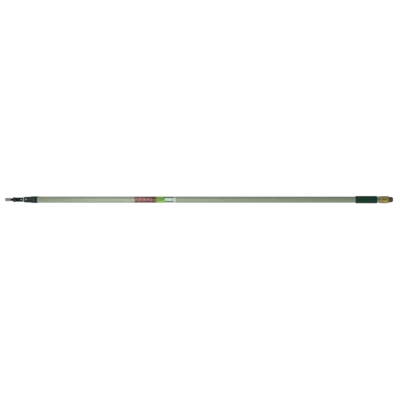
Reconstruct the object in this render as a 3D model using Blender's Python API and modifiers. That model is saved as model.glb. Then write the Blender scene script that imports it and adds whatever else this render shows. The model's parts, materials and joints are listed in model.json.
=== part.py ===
"""Roller extension pole: an outer tube with a hand grip, an inner tube that slides in it, and a lever lock.

The pole lies along X, with its threaded tool end at the origin. The butt is at +X, and the lever faces -Y.
The lever is drawn with its pin lifted just clear of the inner tube. All sizes are in metres.
"""

import math

import bmesh
import bpy
from mathutils import Vector

# Directions
TO_BUTT = Vector((1, 0, 0))
TO_FRONT = Vector((0, -1, 0))
UPWARD = Vector((0, 0, 1))

# Meshing and fits
SEGMENTS = 32  # round the pole
SMALL_SEGMENTS = 20  # round pins, rivets and their holes
MERGE = 0.00001
FIT_GAP = 0.0003  # between pieces that are fixed together
SLIDE_CLEARANCE = 0.00035  # between the inner tube and what guides it
OVERCUT = 0.005  # how far a cutter runs past the material

# Threaded tip: a 3/4 inch, 5 threads to the inch pole thread
THREAD_CREST_DIAMETER = 0.0188
THREAD_ROOT_DIAMETER = 0.0140
THREAD_PITCH = 0.00508
THREAD_LENGTH = 0.0275
THREAD_FLANK_ANGLE = math.radians(14.5)
THREAD_LEAD_IN = 0.0024
STEPS_PER_TURN = 20
STUD_DIAMETER = 0.0100
STUD_DEPTH = 0.032  # how far the stud runs into the ferrule
NECK_DIAMETER = 0.0145
NECK_LENGTH = 0.013
COLLAR_DIAMETER = 0.0254
COLLAR_LENGTH = 0.015
COLLAR_CHAMFER = 0.0012
COLLAR_RIM_LENGTH = 0.0045  # the full-width part, in front of the taper
COLLAR_REAR_DIAMETER = 0.0228
FERRULE_LENGTH = 0.036  # from the collar to the inner tube
PLUG_DEPTH = 0.030  # the ferrule's length inside the inner tube
PLUG_POCKET_DEPTH = 0.0030
TIP_RIVET_SETBACK = 0.0265  # from the collar
RIVET_DIAMETER = 0.0040
RIVET_HEAD_DIAMETER = 0.0066
RIVET_HEAD_HEIGHT = 0.0009

# Inner tube
INNER_TUBE_DIAMETER = 0.0254
INNER_TUBE_WALL = 0.0014
INNER_TUBE_SHOWN = 0.005  # what shows of it with the pole closed
INDEX_HOLE_DIAMETER = 0.0070
INDEX_HOLE_PITCH = 0.1524
GUIDE_BUSH_LENGTH = 0.030
GUIDE_SPIGOT_LENGTH = 0.020
GUIDE_BUSH_BORE = 0.016
STOP_CLEARANCE = 0.0036  # between the guide bush and the sleeve with the pole at its longest
BUTT_CLEARANCE = 0.005  # between the guide bush and the bumper's stem with the pole closed
FLUSH_RIVET_DIAMETER = 0.0032
PLUG_RIVET_SETBACK = 0.0235  # from the inner tube's front end
FLUSH_DEPTH = 0.00025  # how far a flush rivet's ends lie below the tube's surface

# Outer tube
OUTER_TUBE_DIAMETER = 0.03175
OUTER_TUBE_WALL = 0.0014
OUTER_TUBE_LENGTH = 1.811
LABEL_SETBACK = 0.520  # from the outer tube's front end
LABEL_LENGTH = 0.212
LABEL_GAP = 0.00015
LABEL_THICKNESS = 0.0002

# Lock nose and housing
NOSE_LENGTH = 0.0352
NOSE_FRONT_WALL = 0.00085
NOSE_REAR_WALL = 0.0023
NOSE_LIP = 0.0015
NOSE_TAIL_LENGTH = 0.012  # inside the outer tube
PIN_HOLE_DIAMETER = 0.0080
SLEEVE_LENGTH = 0.0237
HOUSING_LENGTH = 0.032
HOUSING_LIP = 0.0017
HOUSING_WALL = 0.0014
HOUSING_FRONT_TAPER = 0.0006
HOUSING_GROOVE_SETBACK = 0.0095  # from the housing's rear face
HOUSING_GROOVE_WIDTH = 0.0014
HOUSING_GROOVE_DEPTH = 0.0006
RING_LENGTH = 0.0074
RING_WALL = 0.0009
SCREW_DIAMETER = 0.0030
SCREW_HEAD_DIAMETER = 0.0054
SCREW_HEAD_HEIGHT = 0.0012
SCREW_SETBACK = 0.0045  # from the housing's rear face
SCREW_SPOT_DEPTH = 0.0004
SCREW_ANGLES = {"upper": math.radians(45), "lower": math.radians(-45)}  # up from +Y

# Lever, its pivot in the housing and its pin
PIN_SETBACK = 0.0095  # from the nose's front end
PIVOT_SETBACK = 0.005  # from the housing's front face
PIVOT_HEIGHT = 0.0034  # above the channel's floor
PIVOT_PIN_DIAMETER = 0.0030
CHANNEL_FLOOR_WALL = 0.0009
CHEEK_WIDTH = 0.0032
CHEEK_HEIGHT = 0.0029  # above the pivot
CHEEK_SETBACK = 0.005  # from the housing's rear face
LEVER_WIDTH = 0.0120
LEVER_BOSS_RADIUS = 0.0029
LEVER_ARM_TOP = -0.00055  # from the pivot, outward
LEVER_ARM_BOTTOM = -0.00315
LEVER_NOSE_END = 0.005  # past the pin
PAD_SETBACK = 0.003  # from the housing's rear face
PAD_TOP = 0.0018
PAD_BOTTOM = -0.0012
LEVER_CORNER = 0.0010
LOCK_PIN_DIAMETER = 0.0046
LOCK_PIN_HEAD_DIAMETER = 0.0074
LOCK_PIN_HEAD_HEIGHT = 0.0010
LOCK_PIN_CHAMFER = 0.0005
SPRING_THICKNESS = 0.00035
SPRING_WIDTH = 0.0080
SPRING_FOOT = (0.0060, 0.0120)  # from the pivot, toward the butt
SPRING_SETBACK = 0.004  # from the pad's end

# Grip, butt cap and bumper
GRIP_LENGTH = 0.109
GRIP_WALL = 0.0028
GRIP_BEAD_LENGTH = 0.0070
GRIP_BEAD_HEIGHT = 0.0004
GRIP_END_ROUND = 0.0012
GRIP_TO_CAP = 0.010
CAP_LENGTH = 0.051
CAP_WALL = 0.0022
CAP_END_WALL = 0.0047
CAP_FRONT_TAPER = (0.009, 0.0009)  # length and drop
CAP_REAR_TAPER = (0.006, 0.0026)
CAP_RECESS_WIDTH = 0.012
CAP_RECESS_DEPTH = 0.0015
CAP_RECESS_FRONT_LAND = 0.003  # from the slot
CAP_RECESS_REAR_LAND = 0.008  # from the cap's rear face
CAP_SLOT_LENGTH = 0.009
CAP_SLOT_WIDTH = 0.0020
CAP_RIVET_SETBACK = 0.025  # from the cap's front end
CAP_RIVET_ANGLE = math.radians(-56)  # up from -Y
BUMPER_LENGTH = 0.0207
BUMPER_DIAMETER = 0.0285
BUMPER_ROUND = 0.0085
STEM_DIAMETER = 0.016
STEM_LENGTH = 0.012

# Radii that follow
inner_radius = INNER_TUBE_DIAMETER / 2
inner_bore = inner_radius - INNER_TUBE_WALL
outer_radius = OUTER_TUBE_DIAMETER / 2
outer_bore = outer_radius - OUTER_TUBE_WALL
plug_radius = inner_bore - FIT_GAP
guide_bore = inner_radius + SLIDE_CLEARANCE
guide_radius = outer_bore - FIT_GAP
over_tube_bore = outer_radius + FIT_GAP
housing_radius = over_tube_bore + HOUSING_WALL
grip_radius = over_tube_bore + GRIP_WALL
cap_radius = over_tube_bore + CAP_WALL
channel_floor = over_tube_bore + CHANNEL_FLOOR_WALL
pivot_radius = channel_floor + PIVOT_HEIGHT

# Stations along the pole, from the tool end
neck_front = THREAD_LENGTH
collar_front = neck_front + NECK_LENGTH
ferrule_front = collar_front + COLLAR_LENGTH
inner_front = ferrule_front + FERRULE_LENGTH
nose_front = inner_front + INNER_TUBE_SHOWN
nose_rear = nose_front + NOSE_LENGTH
housing_front = nose_rear + FIT_GAP
housing_rear = housing_front + HOUSING_LENGTH
outer_front = housing_front + HOUSING_LIP + FIT_GAP
outer_rear = outer_front + OUTER_TUBE_LENGTH
nose_tail_rear = outer_front + NOSE_TAIL_LENGTH
sleeve_front = nose_tail_rear + FIT_GAP
sleeve_rear = sleeve_front + SLEEVE_LENGTH
cap_rear = outer_rear + FIT_GAP + CAP_END_WALL
cap_front = cap_rear - CAP_LENGTH
grip_rear = cap_front - GRIP_TO_CAP
grip_front = grip_rear - GRIP_LENGTH
bumper_front = cap_rear + FIT_GAP
stem_front = bumper_front - STEM_LENGTH
pin_station = nose_front + PIN_SETBACK
pivot_station = housing_front + PIVOT_SETBACK
pad_length = housing_rear - PAD_SETBACK - pivot_station

# The slide runs from hole to hole, as far as the outer tube has room for
slide_room = stem_front - BUTT_CLEARANCE - GUIDE_BUSH_LENGTH - sleeve_rear - STOP_CLEARANCE
index_steps = int(slide_room // INDEX_HOLE_PITCH)
slide_travel = index_steps * INDEX_HOLE_PITCH
bush_front = sleeve_rear + STOP_CLEARANCE + slide_travel
inner_rear = bush_front - FIT_GAP


def clear_scene():
    """Remove what the file opened with."""
    for thing in list(bpy.data.objects):
        bpy.data.objects.remove(thing)


def new_collection(name):
    """A collection linked to the scene."""
    collection = bpy.data.collections.new(name)
    bpy.context.scene.collection.children.link(collection)
    return collection


def finish(name, colour, roughness, metallic=0.0):
    """A Principled material."""
    material = bpy.data.materials.new(name)
    material.use_nodes = True
    shader = material.node_tree.nodes["Principled BSDF"]
    shader.inputs["Base Color"].default_value = (*colour, 1.0)
    shader.inputs["Roughness"].default_value = roughness
    shader.inputs["Metallic"].default_value = metallic
    return material


def add_object(name, data, collection, material=None):
    """An object in a collection, with its material."""
    thing = bpy.data.objects.new(name, data)
    collection.objects.link(thing)
    if material:
        data.materials.append(material)
    return thing


def as_cutter(thing):
    """Mark an object as a tool shape that isn't part of the pole."""
    thing.hide_render = True
    thing.display_type = "WIRE"
    return thing


def aim(thing, direction, origin):
    """Turn an object's own Z to a direction, and put its origin in place."""
    thing.rotation_mode = "QUATERNION"
    thing.rotation_quaternion = UPWARD.rotation_difference(Vector(direction))
    thing.location = origin


def turned(name, profile, collection, material=None, direction=TO_BUTT, origin=(0, 0, 0), segments=SEGMENTS):
    """A solid of revolution. Its profile's points are (distance along the axis, radius).

    They run down the outer side from the far end. A profile that starts off the axis closes into a ring.
    A facet, and not an edge, faces each of the four sides.
    """
    mesh = bpy.data.meshes.new(name)
    half_facet = math.pi / segments
    shape = bmesh.new()
    points = [
        shape.verts.new((radius * math.cos(half_facet), radius * math.sin(half_facet), distance))
        for distance, radius in profile
    ]
    for first, second in zip(points, points[1:]):
        shape.edges.new((first, second))
    if profile[0][1] > 0:
        shape.edges.new((points[-1], points[0]))
    shape.to_mesh(mesh)
    shape.free()
    thing = add_object(name, mesh, collection, material)
    aim(thing, direction, origin)
    turn = thing.modifiers.new("turn", "SCREW")
    turn.axis = "Z"
    turn.angle = math.tau
    turn.screw_offset = 0
    turn.steps = segments
    turn.render_steps = segments
    turn.use_merge_vertices = True
    turn.merge_threshold = MERGE
    turn.use_smooth_shade = True
    return thing


def rod(name, start, end, radius, collection, material=None, direction=TO_BUTT, origin=(0, 0, 0)):
    """A plain cylinder between two distances along a direction."""
    profile = [(end, 0), (end, radius), (start, radius), (start, 0)]
    return turned(name, profile, collection, material, direction, origin, SMALL_SEGMENTS)


def box(name, low, high, collection):
    """A box between two corners."""
    mesh = bpy.data.meshes.new(name)
    shape = bmesh.new()
    bmesh.ops.create_cube(shape, size=1)
    low = Vector(low)
    high = Vector(high)
    for point in shape.verts:
        point.co = Vector(
            (middle + reach * side for middle, reach, side in zip((low + high) / 2, high - low, point.co))
        )
    shape.to_mesh(mesh)
    shape.free()
    return add_object(name, mesh, collection)


def outline_solid(name, outline, half_width, collection, material=None, direction=UPWARD, origin=(0, 0, 0)):
    """A flat outline made as thick as asked, as a welded mesh that can be cut."""
    curve = bpy.data.curves.new(name + "_outline", "CURVE")
    curve.dimensions = "2D"
    curve.fill_mode = "BOTH"
    curve.extrude = half_width
    line = curve.splines.new("POLY")
    line.points.add(len(outline) - 1)
    for point, (across, up) in zip(line.points, outline):
        point.co = (across, up, 0, 1)
    line.use_cyclic_u = True
    flat = bpy.data.objects.new(name + "_outline", curve)
    collection.objects.link(flat)
    aim(flat, direction, origin)
    bpy.context.view_layer.update()
    mesh = bpy.data.meshes.new_from_object(flat.evaluated_get(bpy.context.evaluated_depsgraph_get()))
    shape = bmesh.new()
    shape.from_mesh(mesh)
    bmesh.ops.remove_doubles(shape, verts=shape.verts, dist=MERGE)
    bmesh.ops.recalc_face_normals(shape, faces=shape.faces)
    shape.to_mesh(mesh)
    shape.free()
    mesh.name = name
    thing = add_object(name, mesh, collection, material)
    thing.matrix_world = flat.matrix_world
    bpy.data.objects.remove(flat)
    return thing


def combine(thing, other, operation="DIFFERENCE"):
    """Cut, join or trim an object with another."""
    step = thing.modifiers.new(other.name, "BOOLEAN")
    step.object = other
    step.operation = operation
    step.solver = "EXACT"


def arc(centre, radius, start, end, steps):
    """Points along an arc, in the outline's own two directions."""
    angles = [math.radians(start + (end - start) * step / steps) for step in range(steps + 1)]
    return [(centre[0] + radius * math.cos(angle), centre[1] + radius * math.sin(angle)) for angle in angles]


def radial(angle, side):
    """A direction out from the pole: up by the angle from +Y or -Y, as side says."""
    return Vector((0, side * math.cos(angle), math.sin(angle)))


def drill(things, name, station, direction, start, end, diameter, cutters):
    """Cut one round hole across the pole through each of the things."""
    cutter = rod(name, start, end, diameter / 2, cutters, None, direction, (station, 0, 0))
    as_cutter(cutter)
    for thing in things:
        combine(thing, cutter)


def build_tip(parts, cutters):
    """The threaded metal tip with the neck, collar and ferrule that it is set in, and its rivet."""
    metal = finish("tip_metal", (0.30, 0.31, 0.29), 0.38, 1.0)
    black = finish("neck_black", (0.010, 0.012, 0.009), 0.5)
    brown_black = finish("collar_brown_black", (0.045, 0.048, 0.042), 0.45)
    green = finish("ferrule_green", (0.012, 0.022, 0.013), 0.45)

    root = THREAD_ROOT_DIAMETER / 2
    crest = THREAD_CREST_DIAMETER / 2
    stud = STUD_DIAMETER / 2
    stud_rear = ferrule_front + STUD_DEPTH
    thread_rear = neck_front - FIT_GAP
    profile = [(stud_rear, 0), (stud_rear, stud), (thread_rear, stud)]
    profile += [(thread_rear, root), (0, root), (0, 0)]
    tip = turned("threaded_tip", profile, parts, metal)

    sink = root - stud  # the ridge starts inside the core
    crest_half = THREAD_PITCH / 4 - (crest - root) / 2 * math.tan(THREAD_FLANK_ANGLE)
    base_half = crest_half + (crest - root + sink) * math.tan(THREAD_FLANK_ANGLE)
    base_half = min(base_half, THREAD_PITCH / 2 - FIT_GAP)
    mesh = bpy.data.meshes.new("thread_ridge")
    shape = bmesh.new()
    corners = [(stud, -base_half), (crest, -crest_half), (crest, crest_half), (stud, base_half)]
    start = -THREAD_PITCH
    section = shape.faces.new([shape.verts.new((radius, 0, start + along)) for radius, along in corners])
    turns = math.ceil(THREAD_LENGTH / THREAD_PITCH) + 2
    bmesh.ops.spin(
        shape,
        geom=[section, *section.edges, *section.verts],
        cent=(0, 0, 0),
        axis=(0, 0, 1),
        dvec=(0, 0, THREAD_PITCH / STEPS_PER_TURN),
        angle=math.tau * turns,
        steps=STEPS_PER_TURN * turns,
    )
    bmesh.ops.recalc_face_normals(shape, faces=shape.faces)
    shape.to_mesh(mesh)
    shape.free()
    ridge = as_cutter(add_object("thread_ridge", mesh, cutters))
    aim(ridge, TO_BUTT, (0, 0, 0))
    runout = thread_rear - FIT_GAP
    envelope = turned(
        "thread_envelope",
        [
            (runout, 0),
            (runout, root - FIT_GAP),
            (runout - THREAD_LEAD_IN, crest + FIT_GAP),
            (THREAD_LEAD_IN, crest + FIT_GAP),
            (FIT_GAP, root - FIT_GAP),
            (FIT_GAP, 0),
        ],
        cutters,
    )
    as_cutter(envelope)
    combine(ridge, envelope, "INTERSECT")
    combine(tip, ridge, "UNION")

    stud_bore = stud + FIT_GAP
    neck_rear = collar_front - FIT_GAP
    neck = NECK_DIAMETER / 2
    profile = [(neck_rear, neck), (neck_front, neck), (neck_front, stud_bore), (neck_rear, stud_bore)]
    turned("tip_neck", profile, parts, black)

    collar = COLLAR_DIAMETER / 2
    collar_rear = ferrule_front - FIT_GAP
    rim_front = collar_front + COLLAR_CHAMFER
    profile = [
        (collar_rear, COLLAR_REAR_DIAMETER / 2),
        (rim_front + COLLAR_RIM_LENGTH, collar),
        (rim_front, collar),
        (collar_front, collar - COLLAR_CHAMFER),
        (collar_front, stud_bore),
        (collar_rear, stud_bore),
    ]
    turned("tip_collar", profile, parts, brown_black)

    plug_rear = inner_front + PLUG_DEPTH
    bore_rear = stud_rear + FIT_GAP
    profile = [
        (plug_rear, 0),
        (plug_rear, plug_radius),
        (ferrule_front, plug_radius),
        (ferrule_front, stud_bore),
        (bore_rear, stud_bore),
        (bore_rear, 0),
    ]
    ferrule = turned("tip_ferrule", profile, parts, green)
    rivet_station = ferrule_front + TIP_RIVET_SETBACK
    reach = plug_radius + OVERCUT
    hole = RIVET_DIAMETER + 2 * FIT_GAP
    drill([tip, ferrule], "tip_rivet_hole", rivet_station, TO_FRONT, -reach, reach, hole, cutters)
    pocket_floor = plug_radius - PLUG_POCKET_DEPTH
    drill([ferrule], "plug_pocket", pin_station, TO_FRONT, pocket_floor, reach, PIN_HOLE_DIAMETER, cutters)

    shank = RIVET_DIAMETER / 2
    head = RIVET_HEAD_DIAMETER / 2
    seat = plug_radius + FIT_GAP
    top = seat + RIVET_HEAD_HEIGHT
    profile = [(top, 0), (top, head / 2), (seat + RIVET_HEAD_HEIGHT / 2, head), (seat, head), (seat, shank)]
    profile += [(-distance, radius) for distance, radius in reversed(profile)]
    turned("tip_rivet", profile, parts, metal, TO_FRONT, (rivet_station, 0, 0), SMALL_SEGMENTS)
    return ferrule


def build_inner_tube(ferrule, parts, cutters):
    """The sliding tube with its index holes, the bush at its rear end and the flush rivets."""
    aluminium = finish("inner_aluminium", (0.44, 0.47, 0.44), 0.35, 1.0)
    nylon = finish("bush_nylon", (0.60, 0.60, 0.55), 0.5)
    steel = finish("rivet_steel", (0.45, 0.45, 0.44), 0.35, 1.0)

    profile = [
        (inner_rear, inner_radius),
        (inner_front, inner_radius),
        (inner_front, inner_bore),
        (inner_rear, inner_bore),
    ]
    tube = turned("inner_tube", profile, parts, aluminium)
    reach = inner_radius + OVERCUT
    for step in range(index_steps + 1):
        station = pin_station + step * INDEX_HOLE_PITCH
        drill([tube], f"index_hole_{step:02d}", station, TO_FRONT, 0, reach, INDEX_HOLE_DIAMETER, cutters)

    bush_rear = bush_front + GUIDE_BUSH_LENGTH
    spigot_front = inner_rear - GUIDE_SPIGOT_LENGTH
    bush_bore = GUIDE_BUSH_BORE / 2
    profile = [
        (bush_rear, guide_radius),
        (bush_front, guide_radius),
        (bush_front, plug_radius),
        (spigot_front, plug_radius),
        (spigot_front, bush_bore),
        (bush_rear, bush_bore),
    ]
    bush = turned("guide_bush", profile, parts, nylon)

    hole = FLUSH_RIVET_DIAMETER + 2 * FIT_GAP
    flush = inner_radius * math.cos(math.pi / SEGMENTS) - FLUSH_DEPTH
    rivets = {
        "plug_rivet": (inner_front + PLUG_RIVET_SETBACK, ferrule, -flush),
        "guide_bush_rivet": (inner_rear - GUIDE_SPIGOT_LENGTH / 2, bush, bush_bore - FIT_GAP),
    }
    for name, (station, inside, bottom) in rivets.items():
        drill([tube, inside], name + "_hole", station, UPWARD, bottom - OVERCUT, reach, hole, cutters)
        rod(name, bottom, flush, FLUSH_RIVET_DIAMETER / 2, parts, steel, UPWARD, (station, 0, 0))


def build_outer_tube(parts):
    """The long outer tube, the label round it and the sleeve in its front end."""
    fibreglass = finish("tube_sage", (0.33, 0.37, 0.28), 0.42)
    paper = finish("label_film", (0.30, 0.12, 0.11), 0.35)
    nylon = finish("sleeve_nylon", (0.60, 0.60, 0.55), 0.5)

    profile = [
        (outer_rear, outer_radius),
        (outer_front, outer_radius),
        (outer_front, outer_bore),
        (outer_rear, outer_bore),
    ]
    tube = turned("outer_tube", profile, parts, fibreglass)

    label_front = outer_front + LABEL_SETBACK
    label_rear = label_front + LABEL_LENGTH
    inside = outer_radius + LABEL_GAP
    outside = inside + LABEL_THICKNESS
    profile = [(label_rear, outside), (label_front, outside), (label_front, inside), (label_rear, inside)]
    turned("label", profile, parts, paper)

    profile = [
        (sleeve_rear, guide_radius),
        (sleeve_front, guide_radius),
        (sleeve_front, guide_bore),
        (sleeve_rear, guide_bore),
    ]
    turned("front_sleeve", profile, parts, nylon)
    return tube


def lever_outline():
    """The lever from the side: distances from the pivot, toward the butt and away from the pole."""
    pin_arm = pin_station - pivot_station
    front = pin_arm - LEVER_NOSE_END
    corner = LEVER_CORNER
    boss = LEVER_BOSS_RADIUS
    outline = [(front, LEVER_ARM_BOTTOM)]
    outline += arc((front + corner, LEVER_ARM_TOP - corner), corner, 180, 90, 3)
    outline += [(pin_arm + LOCK_PIN_HEAD_DIAMETER / 2 + corner, LEVER_ARM_TOP)]
    outline += arc((0, 0), boss, 160, 40, 8)
    outline += arc((pad_length - corner, PAD_TOP - corner), corner, 90, 0, 3)
    outline += arc((pad_length - corner, PAD_BOTTOM + corner), corner, 0, -90, 3)
    outline += arc((0, 0), boss, -30, -116, 6)
    outline += [(-3 * boss, LEVER_ARM_BOTTOM)]
    return [(along, -out) for along, out in outline]


def build_lock(tube, parts, cutters):
    """The nose, the housing, the ring behind it, and the lever with its pivot, spring and pin."""
    green = finish("lock_green", (0.030, 0.058, 0.038), 0.4)
    lever_green = finish("lever_green", (0.040, 0.075, 0.050), 0.4)
    pale = finish("ring_pale", (0.27, 0.34, 0.28), 0.4)
    steel = finish("lock_steel", (0.45, 0.45, 0.44), 0.32, 1.0)
    spring_steel = finish("spring_steel", (0.35, 0.35, 0.34), 0.35, 1.0)

    nose_end = guide_bore + NOSE_FRONT_WALL
    nose_back = guide_bore + NOSE_REAR_WALL
    profile = [
        (nose_tail_rear, guide_radius),
        (nose_rear, guide_radius),
        (nose_rear, nose_back),
        (nose_front + NOSE_LIP, nose_end),
        (nose_front, nose_end - NOSE_FRONT_WALL / 2),
        (nose_front, guide_bore),
        (nose_tail_rear, guide_bore),
    ]
    nose = turned("lock_nose", profile, parts, green)
    reach = housing_radius + OVERCUT
    drill([nose], "nose_pin_hole", pin_station, TO_FRONT, 0, reach, PIN_HOLE_DIAMETER, cutters)

    groove_rear = housing_rear - HOUSING_GROOVE_SETBACK
    groove_front = groove_rear - HOUSING_GROOVE_WIDTH
    groove_radius = housing_radius - HOUSING_GROOVE_DEPTH
    front_radius = housing_radius - HOUSING_FRONT_TAPER
    profile = [
        (housing_rear, 0),
        (housing_rear, housing_radius),
        (groove_rear, housing_radius),
        (groove_rear, groove_radius),
        (groove_front, groove_radius),
        (groove_front, housing_radius),
        (housing_front, front_radius),
        (housing_front, 0),
    ]
    housing = turned("lock_housing", profile, parts, green)
    cheek_out = LEVER_WIDTH / 2 + FIT_GAP + CHEEK_WIDTH
    ear = LEVER_BOSS_RADIUS + FIT_GAP
    base = -PIVOT_HEIGHT - OVERCUT
    cheek_rear = housing_rear - CHEEK_SETBACK - pivot_station
    outline = [
        (FIT_GAP - PIVOT_SETBACK, base),
        (FIT_GAP - PIVOT_SETBACK, CHEEK_HEIGHT - ear / 2),
        (-ear, CHEEK_HEIGHT),
        (ear, CHEEK_HEIGHT),
        (cheek_rear, -PIVOT_HEIGHT + CHEEK_WIDTH / 2),
        (cheek_rear, base),
    ]
    pivot = (pivot_station, -pivot_radius, 0)
    outline = [(along, -out) for along, out in outline]
    cheeks = as_cutter(outline_solid("lock_cheeks", outline, cheek_out, cutters, None, UPWARD, pivot))
    combine(housing, cheeks, "UNION")
    lip_bore = guide_radius + FIT_GAP
    lip_rear = outer_front - FIT_GAP
    profile = [
        (housing_rear + OVERCUT, 0),
        (housing_rear + OVERCUT, over_tube_bore),
        (lip_rear, over_tube_bore),
        (lip_rear, lip_bore),
        (housing_front - OVERCUT, lip_bore),
        (housing_front - OVERCUT, 0),
    ]
    combine(housing, as_cutter(turned("housing_bore", profile, cutters)))
    channel_half = LEVER_WIDTH / 2 + FIT_GAP
    channel = box(
        "lever_channel",
        (housing_front - OVERCUT, -pivot_radius - 2 * OVERCUT, -channel_half),
        (housing_rear + OVERCUT, -channel_floor, channel_half),
        cutters,
    )
    combine(housing, as_cutter(channel))

    lever = outline_solid("lock_lever", lever_outline(), LEVER_WIDTH / 2, parts, lever_green, UPWARD, pivot)
    pin_half = cheek_out - FIT_GAP
    hole_radius = PIVOT_PIN_DIAMETER / 2 + FIT_GAP
    pivot_hole = rod("pivot_hole", -reach, reach, hole_radius, cutters, None, UPWARD, pivot)
    as_cutter(pivot_hole)
    combine(housing, pivot_hole)
    combine(lever, pivot_hole)
    rod("lever_pivot_pin", -pin_half, pin_half, PIVOT_PIN_DIAMETER / 2, parts, steel, UPWARD, pivot)

    hole = LOCK_PIN_DIAMETER + 2 * FIT_GAP
    top = pivot_radius + OVERCUT
    drill([lever], "lever_pin_hole", pin_station, TO_FRONT, inner_radius, top, hole, cutters)
    seat = pivot_radius + LEVER_ARM_TOP + FIT_GAP
    top = seat + LOCK_PIN_HEAD_HEIGHT
    shank = LOCK_PIN_DIAMETER / 2
    head = LOCK_PIN_HEAD_DIAMETER / 2
    profile = [
        (top, 0),
        (top, head - LOCK_PIN_CHAMFER),
        (top - LOCK_PIN_CHAMFER, head),
        (seat, head),
        (seat, shank),
        (guide_bore + LOCK_PIN_CHAMFER, shank),
        (guide_bore, shank - LOCK_PIN_CHAMFER),
        (guide_bore, 0),
    ]
    lock_pin = turned("lock_pin", profile, parts, steel, TO_FRONT, (pin_station, 0, 0), SMALL_SEGMENTS)

    foot_start, foot_end = SPRING_FOOT
    foot = -PIVOT_HEIGHT + FIT_GAP
    tip_out = PAD_BOTTOM - FIT_GAP
    lower = [(foot_start, foot), (foot_end, foot), (pad_length - SPRING_SETBACK, tip_out - SPRING_THICKNESS)]
    upper = [(along, out + SPRING_THICKNESS) for along, out in reversed(lower)]
    outline = [(along, -out) for along, out in lower + upper]
    outline_solid("lever_spring", outline, SPRING_WIDTH / 2, parts, spring_steel, UPWARD, pivot)

    ring_front = housing_rear + FIT_GAP
    ring_rear = ring_front + RING_LENGTH
    ring_radius = over_tube_bore + RING_WALL
    profile = [
        (ring_rear, ring_radius),
        (ring_front, ring_radius),
        (ring_front, over_tube_bore),
        (ring_rear, over_tube_bore),
    ]
    turned("retaining_ring", profile, parts, pale)

    screw_station = housing_rear - SCREW_SETBACK
    spot = housing_radius * math.cos(math.pi / SEGMENTS) - SCREW_SPOT_DEPTH
    screw_head = SCREW_HEAD_DIAMETER / 2
    screw = SCREW_DIAMETER / 2
    for name, angle in SCREW_ANGLES.items():
        out = radial(angle, 1)
        place = (screw_station, 0, 0)
        profile = [(reach, 0), (reach, screw_head + FIT_GAP), (spot, screw_head + FIT_GAP)]
        profile += [(spot, screw + FIT_GAP), (guide_radius, screw + FIT_GAP), (guide_radius, 0)]
        hole = turned(f"screw_hole_{name}", profile, cutters, None, out, place, SMALL_SEGMENTS)
        as_cutter(hole)
        combine(housing, hole)
        combine(tube, hole)
        seat = spot + FIT_GAP
        top = seat + SCREW_HEAD_HEIGHT
        end = guide_radius + FIT_GAP
        profile = [(top, 0), (top, screw_head / 2), (seat + SCREW_HEAD_HEIGHT / 2, screw_head)]
        profile += [(seat, screw_head), (seat, screw), (end, screw), (end, 0)]
        turned(f"housing_screw_{name}", profile, parts, steel, out, place, SMALL_SEGMENTS)
    return lever, lock_pin


def build_grip(parts):
    """The hand grip, a sleeve with a bead at each end."""
    rubber = finish("grip_green", (0.011, 0.042, 0.025), 0.6)
    bead = grip_radius + GRIP_BEAD_HEIGHT
    turn_in = GRIP_END_ROUND
    profile = [
        (grip_rear, grip_radius - turn_in),
        (grip_rear - turn_in, bead),
        (grip_rear - GRIP_BEAD_LENGTH, bead),
        (grip_rear - GRIP_BEAD_LENGTH - GRIP_BEAD_HEIGHT, grip_radius),
        (grip_front + GRIP_BEAD_LENGTH + GRIP_BEAD_HEIGHT, grip_radius),
        (grip_front + GRIP_BEAD_LENGTH, bead),
        (grip_front + turn_in, bead),
        (grip_front, grip_radius - turn_in),
        (grip_front, over_tube_bore),
        (grip_rear, over_tube_bore),
    ]
    turned("grip", profile, parts, rubber)


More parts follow.
